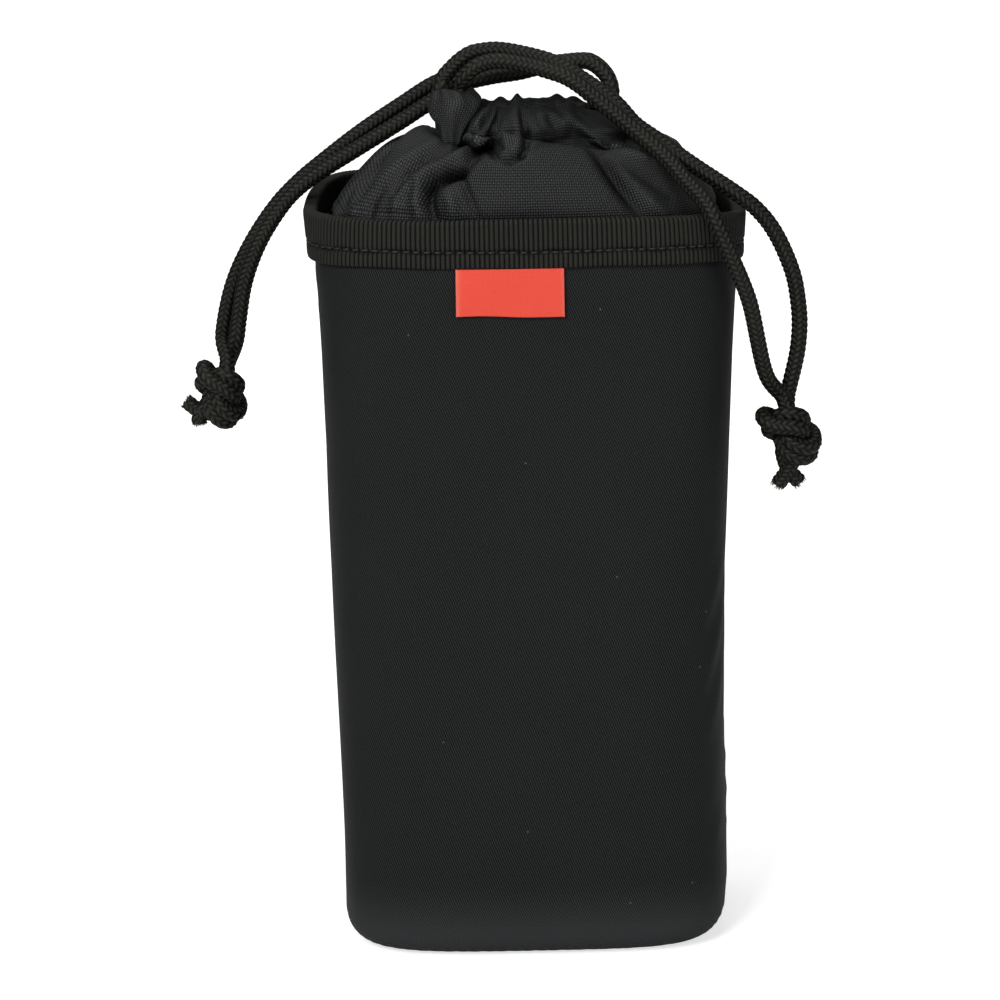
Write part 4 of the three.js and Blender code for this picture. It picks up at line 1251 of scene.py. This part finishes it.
def makeHood():
    cols, rows = hood["columns"], hood["rows"]
    total = hood["hem"] + hood["slant"]
    grid = []
    for h in np.linspace(0, total, rows):
        size = 1 + (hood["topShare"] - 1) * max(0.0, (h - hood["hem"]) / hood["slant"])
        ring = plainRing(hood["hemX"] * size, hood["hemY"] * size, hood["squareness"], cols)
        # more cloth at the left end, so that its shoulder stands up, and less at the right
        side = ring[:, 0] / (hood["hemX"] * size)
        slack = 1 + np.where(side < 0, hood["endSlack"][0], hood["endSlack"][1]) * side ** 2
        slack = slack - hood["backTight"] * (np.maximum(ring[:, 1], 0) / (hood["hemY"] * size)) ** 2
        up = hood["hemLow"] + np.minimum(h, hood["hem"]) + max(0.0, h - hood["hem"]) * slack
        grid.append(np.column_stack([ring, up]))
    grid = np.array(grid)
    rowLength = np.linalg.norm(np.roll(grid[-1], -1, axis=0) - grid[-1], axis=1).sum()
    loops = []
    for k in range(1, hood["loops"] + 1):
        s = k / hood["loops"]
        loop = mouthLoop(s, cols, rowLength)
        goal = loop["outer"].copy()
        goal[:, 2] += grid[-1][:, 2] + (hood["gatherZ"] - grid[-1][:, 2]) * s
        ease = min(1.0, s / hood["loopEase"])
        loops.append(grid[-1] * (1 - ease) + goal * ease)

    def upSlope(count):
        # how far up the slope each row lies
        return np.clip((np.linspace(0, total, count) - hood["hem"]) / hood["slant"], 0, 1)[:, None]

    cloth = drawHood(grid, loops)
    for _ in range(hood["finer"]):
        cloth = doubled(cloth)
    cols, rows = cloth.shape[1], cloth.shape[0]
    loop = mouthLoop(1.0, cols, rowLength)
    cloth[-1] = loop["outer"] + (0, 0, hood["gatherZ"])
    # the left shoulder stands fuller
    x, y = cloth[:, :, 0] - hood["shoulderAt"], cloth[:, :, 1]
    wideX, wideY = hood["shoulderWide"]
    full = np.exp(-((x / wideX) ** 2) - (y / wideY) ** 2) * np.sin(upSlope(rows) * pi) ** 0.5
    cloth[:, :, 2] += hood["shoulder"] * full
    cloth[:, :, 0] -= hood["shoulderOut"] * full
    casing, outside = casingRows(cloth[-1], loop)
    # folds from the given list on the front, over the drawn cloth and the outside of the casing
    top = np.concatenate([cloth, casing[:outside]])
    n = facingOut(top)
    for _ in range(3):
        n = eased(n.swapaxes(0, 1), 3).swapaxes(0, 1)
        n[1:-1] = (n[:-2] + n[1:-1] + n[2:]) / 3
    n /= np.linalg.norm(n, axis=2)[:, :, None]
    e = radians(viewpoint["elevation"])
    facing = smoothStep(*hood["facing"], n @ np.array([0, -cos(e), sin(e)]))
    relief = foldRelief(*seenFromFront(top)) * facing * (top[:, :, 1] < hood["foldsTo"])
    fade = np.ones(len(top))
    fade[-hood["fadeRows"]:] = np.linspace(1, 0, hood["fadeRows"])
    top = top + n * (relief * fade[:, None])[:, :, None]
    # the folds stay off the cords
    x, y, z = (top[:, :, k] for k in range(3))
    near = smoothStep(*hood["cordLow"], z) * (1 - smoothStep(*hood["cordHigh"], z))
    near = near * (1 - smoothStep(*hood["cordAcross"], np.abs(x))) * smoothStep(*hood["cordBack"], y)
    top[:, :, 1] += (np.minimum(y, hood["cordSide"]) - y) * near
    # the hem runs on down to the lining
    hem = []
    for z, grow in hood["hemRings"]:
        ring = cloth[0].copy()
        ring[:, :2] *= grow
        ring[:, 2] = z
        hem.append(ring)
    whole = np.concatenate([np.array(hem), top, casing[outside:]])
    count = len(whole)
    spots, faces = whole.reshape(-1, 3), gridFaces(count, cols, True)
    bud, budUv, budPaintedShade = makeOutlet()
    faces += (np.array(gridFaces(bud.shape[0], bud.shape[1], True)) + len(spots)).tolist()
    piece = makePiece("hood_cloth", np.concatenate([spots, bud.reshape(-1, 3)]), faces)
    # the fold depth is kept as the fold attribute, which paints shade into the folds and light onto the ridges
    depth = np.zeros(len(spots))
    first = len(hem) * cols
    depth[first:first + relief.size] = np.clip(relief * fade[:, None], *hood["paintedShadeRange"]).ravel()
    setShade(piece, "fold", np.concatenate([depth, budPaintedShade.ravel()]))
    # flat cloth coordinates, so that the weave runs with the folds
    turned = np.concatenate([cloth[-1:], casing])
    further = total + np.cumsum(np.linalg.norm(np.diff(turned, axis=0), axis=2).mean(1))
    below = [z - hood["hemLow"] for z, _ in hood["hemRings"]]
    flatV = np.concatenate([below, np.linspace(0, total, rows), further])
    around = 2 * (hood["hemX"] + hood["hemY"]) * hood["fullness"]
    u = np.tile(np.arange(cols + 1) / cols * around, (count, 1))
    v = np.repeat(flatV[:, None], cols, axis=1)
    setUv(piece, gridUv(count, cols, u, v, True) + budUv)
    return piece, (around * mm, (flatV[-1] - flatV[0]) * mm)


hoodPiece, hoodCut = makeHood()
print("hood drawn in")


# shader helpers
def newGroup(name, inputs, outputs):
    group = bpy.data.node_groups.new(name, "ShaderNodeTree")
    for title, kind, value in inputs:
        socket = group.interface.new_socket(title, in_out="INPUT", socket_type=kind)
        if value is not None:
            socket.default_value = value
    for title, kind in outputs:
        group.interface.new_socket(title, in_out="OUTPUT", socket_type=kind)
    return group, group.nodes.new("NodeGroupInput"), group.nodes.new("NodeGroupOutput")


def maths(tree, operation, a, b=None, c=None):
    node = tree.nodes.new("ShaderNodeMath")
    node.operation = operation
    for k, value in enumerate((a, b, c)):
        if value is None:
            continue
        if hasattr(value, "links"):
            tree.links.new(value, node.inputs[k])
        else:
            node.inputs[k].default_value = value
    return node.outputs[0]


weaveForm = {"bow": 3.6, "swing": 0.42, "level": 0.58, "weft": 0.88, "cover": 1.15}


def plainWeaveGroup():
    # over-one-under-one cloth from flat coordinates in mm
    group, given, result = newGroup(
        "plain weave",
        [("Vector", "NodeSocketVector", None), ("Pitch", "NodeSocketFloat", 0.7)],
        [("Height", "NodeSocketFloat"), ("Gap", "NodeSocketFloat")],
    )
    split = group.nodes.new("ShaderNodeSeparateXYZ")
    group.links.new(given.outputs["Vector"], split.inputs[0])
    u = maths(group, "DIVIDE", split.outputs[0], given.outputs["Pitch"])
    v = maths(group, "DIVIDE", split.outputs[1], given.outputs["Pitch"])

    def yarn(across, along):
        index = maths(group, "FLOOR", across)
        offset = maths(group, "SUBTRACT", maths(group, "FRACT", across), 0.5)
        square = maths(group, "MULTIPLY", offset, offset)
        bow = maths(group, "SUBTRACT", 1.0, maths(group, "MULTIPLY", square, weaveForm["bow"]))
        crossed = maths(group, "ADD", maths(group, "SUBTRACT", along, 0.5), index)
        over = maths(group, "COSINE", maths(group, "MULTIPLY", crossed, pi))
        rise = maths(group, "MULTIPLY_ADD", over, weaveForm["swing"], weaveForm["level"])
        return maths(group, "MULTIPLY", bow, rise)

    # the weft lies lower; where the height sets the colour, this also paints the weft yarns darker, as if they caught
    # less light
    weft = maths(group, "MULTIPLY", yarn(v, maths(group, "ADD", u, 1.0)), weaveForm["weft"])
    high = maths(group, "MAXIMUM", yarn(u, v), weft)
    group.links.new(high, result.inputs["Height"])
    gap = maths(group, "SUBTRACT", 1.0, maths(group, "MULTIPLY", high, weaveForm["cover"]))
    group.links.new(maths(group, "MAXIMUM", gap, 0.0), result.inputs["Gap"])
    return group


twillForm = {"middle": 0.45, "bow": 3.4, "float": 0.8, "shift": 0.37, "break": 0.14}


def twillGroup():
    # steep diagonal wales, each broken into short floats
    group, given, result = newGroup(
        "twill",
        [("Vector", "NodeSocketVector", None), ("Pitch", "NodeSocketFloat", 0.55), ("Slope", "NodeSocketFloat", 0.6)],
        [("Height", "NodeSocketFloat")],
    )
    split = group.nodes.new("ShaderNodeSeparateXYZ")
    group.links.new(given.outputs["Vector"], split.inputs[0])
    slanted = maths(group, "MULTIPLY_ADD", split.outputs[1], given.outputs["Slope"], split.outputs[0])
    wale = maths(group, "DIVIDE", slanted, given.outputs["Pitch"])
    offset = maths(group, "SUBTRACT", maths(group, "FRACT", wale), twillForm["middle"])
    square = maths(group, "MULTIPLY", offset, offset)
    ridge = maths(group, "SUBTRACT", 1.0, maths(group, "MULTIPLY", square, twillForm["bow"]))
    length = maths(group, "MULTIPLY", given.outputs["Pitch"], twillForm["float"])
    rows = maths(group, "DIVIDE", split.outputs[1], length)
    stepped = maths(group, "ADD", rows, maths(group, "MULTIPLY", maths(group, "FLOOR", wale), twillForm["shift"]))
    picks = maths(group, "SINE", maths(group, "MULTIPLY", stepped, 2 * pi))
    group.links.new(maths(group, "MULTIPLY_ADD", picks, twillForm["break"], ridge), result.inputs["Height"])
    return group


toneForm = {
    "layers": ((38.0, 3.0), (1500.0, 2.0)),   # scale and detail
    "darkest": 0.02, "rough": 0.5, "roughSwing": -0.25,
}


def toneGroup():
    # slow unevenness and fine fuzz over a cloth colour
    group, given, result = newGroup(
        "cloth tone",
        [
            ("Color", "NodeSocketColor", (0.02, 0.02, 0.02, 1)), ("Depth", "NodeSocketFloat", 0.0),
            ("Amount", "NodeSocketFloat", 0.25),
        ],
        [("Color", "NodeSocketColor"), ("Rough", "NodeSocketFloat")],
    )
    place = group.nodes.new("ShaderNodeTexCoord")
    layers = []
    for scale, detail in toneForm["layers"]:
        noise = group.nodes.new("ShaderNodeTexNoise")
        noise.inputs["Scale"].default_value = scale
        noise.inputs["Detail"].default_value = detail
        group.links.new(place.outputs["Object"], noise.inputs["Vector"])
        layers.append(maths(group, "MULTIPLY", noise.outputs["Fac"], 0.5))
    both = maths(group, "SUBTRACT", maths(group, "ADD", *layers), 0.5)
    swing = maths(group, "MULTIPLY", both, maths(group, "MULTIPLY", given.outputs["Amount"], 2.0))
    shade = maths(group, "SUBTRACT", maths(group, "ADD", swing, 1.0), given.outputs["Depth"])
    tint = group.nodes.new("ShaderNodeVectorMath")
    tint.operation = "SCALE"
    group.links.new(given.outputs["Color"], tint.inputs[0])
    group.links.new(maths(group, "MAXIMUM", shade, toneForm["darkest"]), tint.inputs["Scale"])
    group.links.new(tint.outputs[0], result.inputs["Color"])
    rough = maths(group, "MULTIPLY_ADD", swing, toneForm["roughSwing"], toneForm["rough"])
    group.links.new(rough, result.inputs["Rough"])
    return group


weaveNodes, twillNodes, toneNodes = plainWeaveGroup(), twillGroup(), toneGroup()


def startMaterial(name, finish):
    material = bpy.data.materials.new(name)
    material.use_nodes = True
    tree = material.node_tree
    shader = tree.nodes["Principled BSDF"]
    shader.inputs["Roughness"].default_value = finish["rough"]
    shader.inputs["Specular IOR Level"].default_value = finish["gloss"]
    return material, tree, shader


def placeGroup(tree, group, **values):
    node = tree.nodes.new("ShaderNodeGroup")
    node.node_tree = group
    for key, value in values.items():
        if hasattr(value, "links"):
            tree.links.new(value, node.inputs[key])
        else:
            node.inputs[key].default_value = value
    return node


def clothUv(tree):
    node = tree.nodes.new("ShaderNodeUVMap")
    node.uv_map = "cloth"
    return node.outputs[0]


def shadeOf(tree, name):
    node = tree.nodes.new("ShaderNodeAttribute")
    node.attribute_type = "GEOMETRY"
    node.attribute_name = name
    return node.outputs["Fac"]


def addBump(tree, shader, height, strength, distance):
    bump = tree.nodes.new("ShaderNodeBump")
    bump.inputs["Strength"].default_value = strength
    bump.inputs["Distance"].default_value = distance
    tree.links.new(height, bump.inputs["Height"])
    tree.links.new(bump.outputs[0], shader.inputs["Normal"])


def addTone(tree, shader, color, depth, uneven):
    tone = placeGroup(tree, toneNodes, Color=color, Depth=depth, Amount=uneven)
    tree.links.new(tone.outputs["Color"], shader.inputs["Base Color"])
    return tone.outputs["Rough"]


def addRamp(tree, value, span, levels, kind="LINEAR"):
    ramp = tree.nodes.new("ShaderNodeMapRange")
    ramp.interpolation_type = kind
    ramp.inputs["From Min"].default_value, ramp.inputs["From Max"].default_value = span
    ramp.inputs["To Min"].default_value, ramp.inputs["To Max"].default_value = levels
    tree.links.new(value, ramp.inputs["Value"])
    return ramp.outputs["Result"]


twillFinish = {
    "rough": 0.55, "gloss": 0.06, "color": (0.0138, 0.0146, 0.0149, 1), "uneven": 0.2,
    "pitch": 0.6, "slope": 0.38, "crest": 0.7, "contrast": 2.6, "bump": (0.5, 0.00012),
    "baseLightHeight": (1.0, 24.0), "paintedBaseLight": (1.9, 0.0),
    "lintScale": 0.045, "lintSize": 0.011, "lintPick": 0.7, "lint": 4.0,
}


def twillCloth():
    finish = twillFinish
    material, tree, shader = startMaterial("black twill", finish)
    twill = placeGroup(tree, twillNodes, Vector=clothUv(tree), Pitch=finish["pitch"], Slope=finish["slope"])
    # painted light and shade: the crests of the wales are lighter and the hollows between them darker
    low = maths(tree, "SUBTRACT", finish["crest"], twill.outputs["Height"])
    depth = maths(tree, "MULTIPLY", low, finish["contrast"])
    # painted light: a little paler towards the base
    height = tree.nodes.new("ShaderNodeSeparateXYZ")
    tree.links.new(clothUv(tree), height.inputs[0])
    paintedBaseLight = addRamp(tree, height.outputs[1], finish["baseLightHeight"], finish["paintedBaseLight"], "SMOOTHSTEP")
    depth = maths(tree, "SUBTRACT", depth, paintedBaseLight)
    # a few specks of lint
    cell = tree.nodes.new("ShaderNodeTexVoronoi")
    cell.voronoi_dimensions = "2D"
    cell.inputs["Scale"].default_value = finish["lintScale"]
    tree.links.new(clothUv(tree), cell.inputs["Vector"])
    pick = tree.nodes.new("ShaderNodeSeparateXYZ")
    tree.links.new(cell.outputs["Color"], pick.inputs[0])
    small = maths(tree, "LESS_THAN", cell.outputs["Distance"], finish["lintSize"])
    speck = maths(tree, "MULTIPLY", small, maths(tree, "GREATER_THAN", pick.outputs[0], finish["lintPick"]))
    depth = maths(tree, "SUBTRACT", depth, maths(tree, "MULTIPLY", speck, finish["lint"]))
    rough = addTone(tree, shader, finish["color"], depth, finish["uneven"])
    tree.links.new(rough, shader.inputs["Roughness"])
    addBump(tree, shader, twill.outputs["Height"], *finish["bump"])
    return material


hoodFinish = {
    "rough": 0.4, "gloss": 0.24, "color": (0.0098, 0.0106, 0.0104, 1), "uneven": 0.25,
    "pitch": 0.64, "sharp": 4.0, "contrast": 5.9, "paintedFoldShade": 0.42, "darkest": 0.12, "bump": (0.75, 0.0002),
}


def hoodClothMaterial():
    finish = hoodFinish
    material, tree, shader = startMaterial("charcoal plain weave", finish)
    weave = placeGroup(tree, weaveNodes, Vector=clothUv(tree), Pitch=finish["pitch"])
    # painted light and shade: the tops of the yarns are lit and the hollows between them are dark
    crest = maths(tree, "POWER", weave.outputs["Height"], finish["sharp"])
    yarns = maths(tree, "MULTIPLY", crest, finish["contrast"])
    # painted shade and light: the fold depth darkens the folds and lightens the ridges
    paintedFoldLight = maths(tree, "MULTIPLY_ADD", shadeOf(tree, "fold"), finish["paintedFoldShade"], 1.0)
    paintedFoldLight = maths(tree, "MAXIMUM", paintedFoldLight, finish["darkest"])
    depth = maths(tree, "SUBTRACT", 1.0, maths(tree, "MULTIPLY", yarns, paintedFoldLight))
    rough = addTone(tree, shader, finish["color"], depth, finish["uneven"])
    tree.links.new(rough, shader.inputs["Roughness"])
    addBump(tree, shader, weave.outputs["Height"], *finish["bump"])
    return material


tapeFinish = {
    "rough": 0.62, "gloss": 0.12, "color": (0.0145, 0.0145, 0.0122, 1), "uneven": 0.3,
    "crest": 0.76, "contrast": 1.9, "pitch": 0.36, "bump": (0.35, 0.00006),
}


def tapeMaterial():
    finish = tapeFinish
    material, tree, shader = startMaterial("black ribbed tape", finish)
    # painted shade and light: the rib grooves and stitch groove are dark, the rib tops lit
    low = maths(tree, "SUBTRACT", finish["crest"], shadeOf(tree, "crown"))
    addTone(tree, shader, finish["color"], maths(tree, "MULTIPLY", low, finish["contrast"]), finish["uneven"])
    weave = placeGroup(tree, weaveNodes, Vector=clothUv(tree), Pitch=finish["pitch"])
    addBump(tree, shader, weave.outputs["Height"], *finish["bump"])
    return material


braidFinish = {
    "rough": 0.5, "gloss": 0.15, "color": (0.0145, 0.0145, 0.0112, 1), "uneven": 0.95,
    "sharp": 4.0, "contrast": 2.45, "fibres": 2600.0, "bump": (0.3, 0.0001),
}


def braidMaterial():
    finish = braidFinish
    material, tree, shader = startMaterial("black braid", finish)
    # painted light and shade: the tops of the yarns are lit and the gaps between them dark
    crest = maths(tree, "POWER", shadeOf(tree, "crown"), finish["sharp"])
    yarns = maths(tree, "MULTIPLY", crest, finish["contrast"])
    addTone(tree, shader, finish["color"], maths(tree, "SUBTRACT", 1.0, yarns), finish["uneven"])
    fibres = tree.nodes.new("ShaderNodeTexNoise")
    fibres.inputs["Scale"].default_value = finish["fibres"]
    addBump(tree, shader, fibres.outputs["Fac"], *finish["bump"])
    return material


threadFinish = {"rough": 0.45, "gloss": 0.3, "color": (0.019, 0.019, 0.0165, 1), "uneven": 0.5}


def threadMaterial():
    material, tree, shader = startMaterial("black thread", threadFinish)
    addTone(tree, shader, threadFinish["color"], 0.0, threadFinish["uneven"])
    return material


labelFinish = {
    "rough": 0.55, "gloss": 0.15, "color": (0.88, 0.088, 0.056, 1), "edge": (0.95, 0.34, 0.25, 1),
    "edgeShare": 0.35, "uneven": 0.1, "pitch": 0.3, "gaps": 0.25, "bump": (0.4, 0.00007),
}


def labelMaterial():
    finish = labelFinish
    material, tree, shader = startMaterial("red woven label", finish)
    weave = placeGroup(tree, weaveNodes, Vector=clothUv(tree), Pitch=finish["pitch"])
    mix = tree.nodes.new("ShaderNodeMix")
    mix.data_type = "RGBA"
    tree.links.new(maths(tree, "MULTIPLY", shadeOf(tree, "crown"), finish["edgeShare"]), mix.inputs["Factor"])
    mix.inputs["A"].default_value = finish["color"]
    mix.inputs["B"].default_value = finish["edge"]
    # painted shade between the yarns
    gaps = maths(tree, "MULTIPLY", weave.outputs["Gap"], finish["gaps"])
    addTone(tree, shader, mix.outputs["Result"], gaps, finish["uneven"])
    addBump(tree, shader, weave.outputs["Height"], *finish["bump"])
    return material


liningFinish = {
    "rough": 0.6, "gloss": 0.15, "color": (0.0125, 0.0125, 0.012, 1), "uneven": 0.2,
    "pitch": 0.4, "gaps": 0.5, "bump": (0.3, 0.00008),
}


def liningMaterial():
    finish = liningFinish
    material, tree, shader = startMaterial("black lining", finish)
    weave = placeGroup(tree, weaveNodes, Vector=clothUv(tree), Pitch=finish["pitch"])
    # painted shade between the yarns
    gaps = maths(tree, "MULTIPLY", weave.outputs["Gap"], finish["gaps"])
    addTone(tree, shader, finish["color"], gaps, finish["uneven"])
    addBump(tree, shader, weave.outputs["Height"], *finish["bump"])
    return material


def dress(material, *pieces):
    for piece in pieces:
        piece.data.materials.clear()
        piece.data.materials.append(material)


dress(twillCloth(), frontPanel, backPanel, basePanel)
dress(hoodClothMaterial(), hoodPiece)
dress(tapeMaterial(), tapePiece)
dress(threadMaterial(), stitchPiece)
dress(labelMaterial(), labelPiece)
dress(liningMaterial(), liningPiece)
dress(braidMaterial(), leftLoopPiece, rightLoopPiece, *[c["piece"] for c in cords.values()])
print("materials dressed")


# stage: pale floor, white surroundings and soft lamps
studio = {
    "floor": {"rough": 0.9, "gloss": 0.1, "color": (0.82, 0.82, 0.82, 1)},
    "floorReach": 6, "floorDrop": 0.0002, "glowReach": (0.12, 0.7), "glow": (0.66, 0.98),
    "world": 0.14,
    # name, place, size and energy
    "lamps": (
        ("key", (-0.62, -1.3, 1.05), 0.5, 17.5),
        ("fill", (0.85, -1.25, 0.5), 0.9, 5.0),
        ("top", (-0.1, 0.15, 1.15), 0.6, 4.0),
    ),
    "aim": (0, 0, 0.11),
}


def makeStage():
    far = studio["floorReach"]
    corners = [(-far, -far, 0), (far, -far, 0), (far, far, 0), (-far, far, 0)]
    mesh = bpy.data.meshes.new("floor")
    mesh.from_pydata(corners, [], [(0, 1, 2, 3)])
    floor = bpy.data.objects.new("floor", mesh)
    floor.location.z = -studio["floorDrop"]
    scene.collection.objects.link(floor)
    material, tree, shader = startMaterial("pale floor", studio["floor"])
    shader.inputs["Base Color"].default_value = studio["floor"]["color"]
    path = tree.nodes.new("ShaderNodeLightPath")
    # the lamps don't reach the far floor, so it is brightened there
    spot = tree.nodes.new("ShaderNodeTexCoord")
    away = tree.nodes.new("ShaderNodeVectorMath")
    away.operation = "LENGTH"
    tree.links.new(spot.outputs["Object"], away.inputs[0])
    bright = addRamp(tree, away.outputs["Value"], studio["glowReach"], studio["glow"])
    glow = maths(tree, "MULTIPLY", path.outputs["Is Camera Ray"], bright)
    shader.inputs["Emission Color"].default_value = (1, 1, 1, 1)
    tree.links.new(glow, shader.inputs["Emission Strength"])
    mesh.materials.append(material)
    world = bpy.data.worlds.new("studio")
    scene.world = world
    world.use_nodes = True
    tree = world.node_tree
    tree.nodes.clear()
    path = tree.nodes.new("ShaderNodeLightPath")
    soft, white = tree.nodes.new("ShaderNodeBackground"), tree.nodes.new("ShaderNodeBackground")
    soft.inputs["Strength"].default_value = studio["world"]
    white.inputs["Strength"].default_value = 1.0
    for node in (soft, white):
        node.inputs["Color"].default_value = (1, 1, 1, 1)
    mix, out = tree.nodes.new("ShaderNodeMixShader"), tree.nodes.new("ShaderNodeOutputWorld")
    tree.links.new(path.outputs["Is Camera Ray"], mix.inputs[0])
    tree.links.new(soft.outputs[0], mix.inputs[1])
    tree.links.new(white.outputs[0], mix.inputs[2])
    tree.links.new(mix.outputs[0], out.inputs[0])
    for name, place, size, energy in studio["lamps"]:
        light = bpy.data.lights.new(name, "AREA")
        light.size, light.energy = size, energy
        lamp = bpy.data.objects.new(name, light)
        lamp.location = place
        lamp.rotation_euler = (Vector(studio["aim"]) - lamp.location).to_track_quat("-Z", "Y").to_euler()
        scene.collection.objects.link(lamp)


makeStage()
print("stage set")


# what each piece stands for; the body, label, loops and knots are attached to what they move with
for piece, nodes, slot in (
    (frontPanel, ("front_panel", "wall_padding"), "twill"), (backPanel, ("back_panel",), "twill"),
    (basePanel, ("base_panel", "base_board"), "twill"), (liningPiece, ("lining_sleeve", "base_lining"), "lining"),
    (tapePiece, ("rim_binding",), "tape"), (stitchPiece, (), "tape"),
):
    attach(piece, "pouch")
    if nodes:
        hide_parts(*nodes)

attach(labelPiece, "label")
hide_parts("label_tab")

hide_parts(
    "hood_front_panel", "hood_back_panel", "casing_front", "casing_back", "left_outlet", "right_outlet",
)
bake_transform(hoodPiece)

for piece, node in ((leftLoopPiece, "left_cord_loop"), (rightLoopPiece, "right_cord_loop")):
    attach(piece, "mouth")
    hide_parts(node)

for name, node, body, way in (
    ("rightInner", "right_strand_inner", "right_cord", 1), ("rightOuter", "right_strand_outer", "right_cord", 1),
    ("leftFront", "left_strand_front", "left_cord", -1), ("leftBack", "left_strand_back", "left_cord", -1),
):
    cord = cords[name]
    piece, line = cord["piece"], cord["line"] * mm
    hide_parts(node)
    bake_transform(piece)

knotNodes = {
    "right": ("right_knot", "right_tail_left", "right_tail_right"),
    "left": ("left_knot", "left_tail_side", "left_tail_down"),
}
for side, nodes in knotNodes.items():
    piece = cords[side + "Knot"]["piece"]
    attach(piece, side + "_cord")
    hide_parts(*nodes)

bpy.context.view_layer.update()
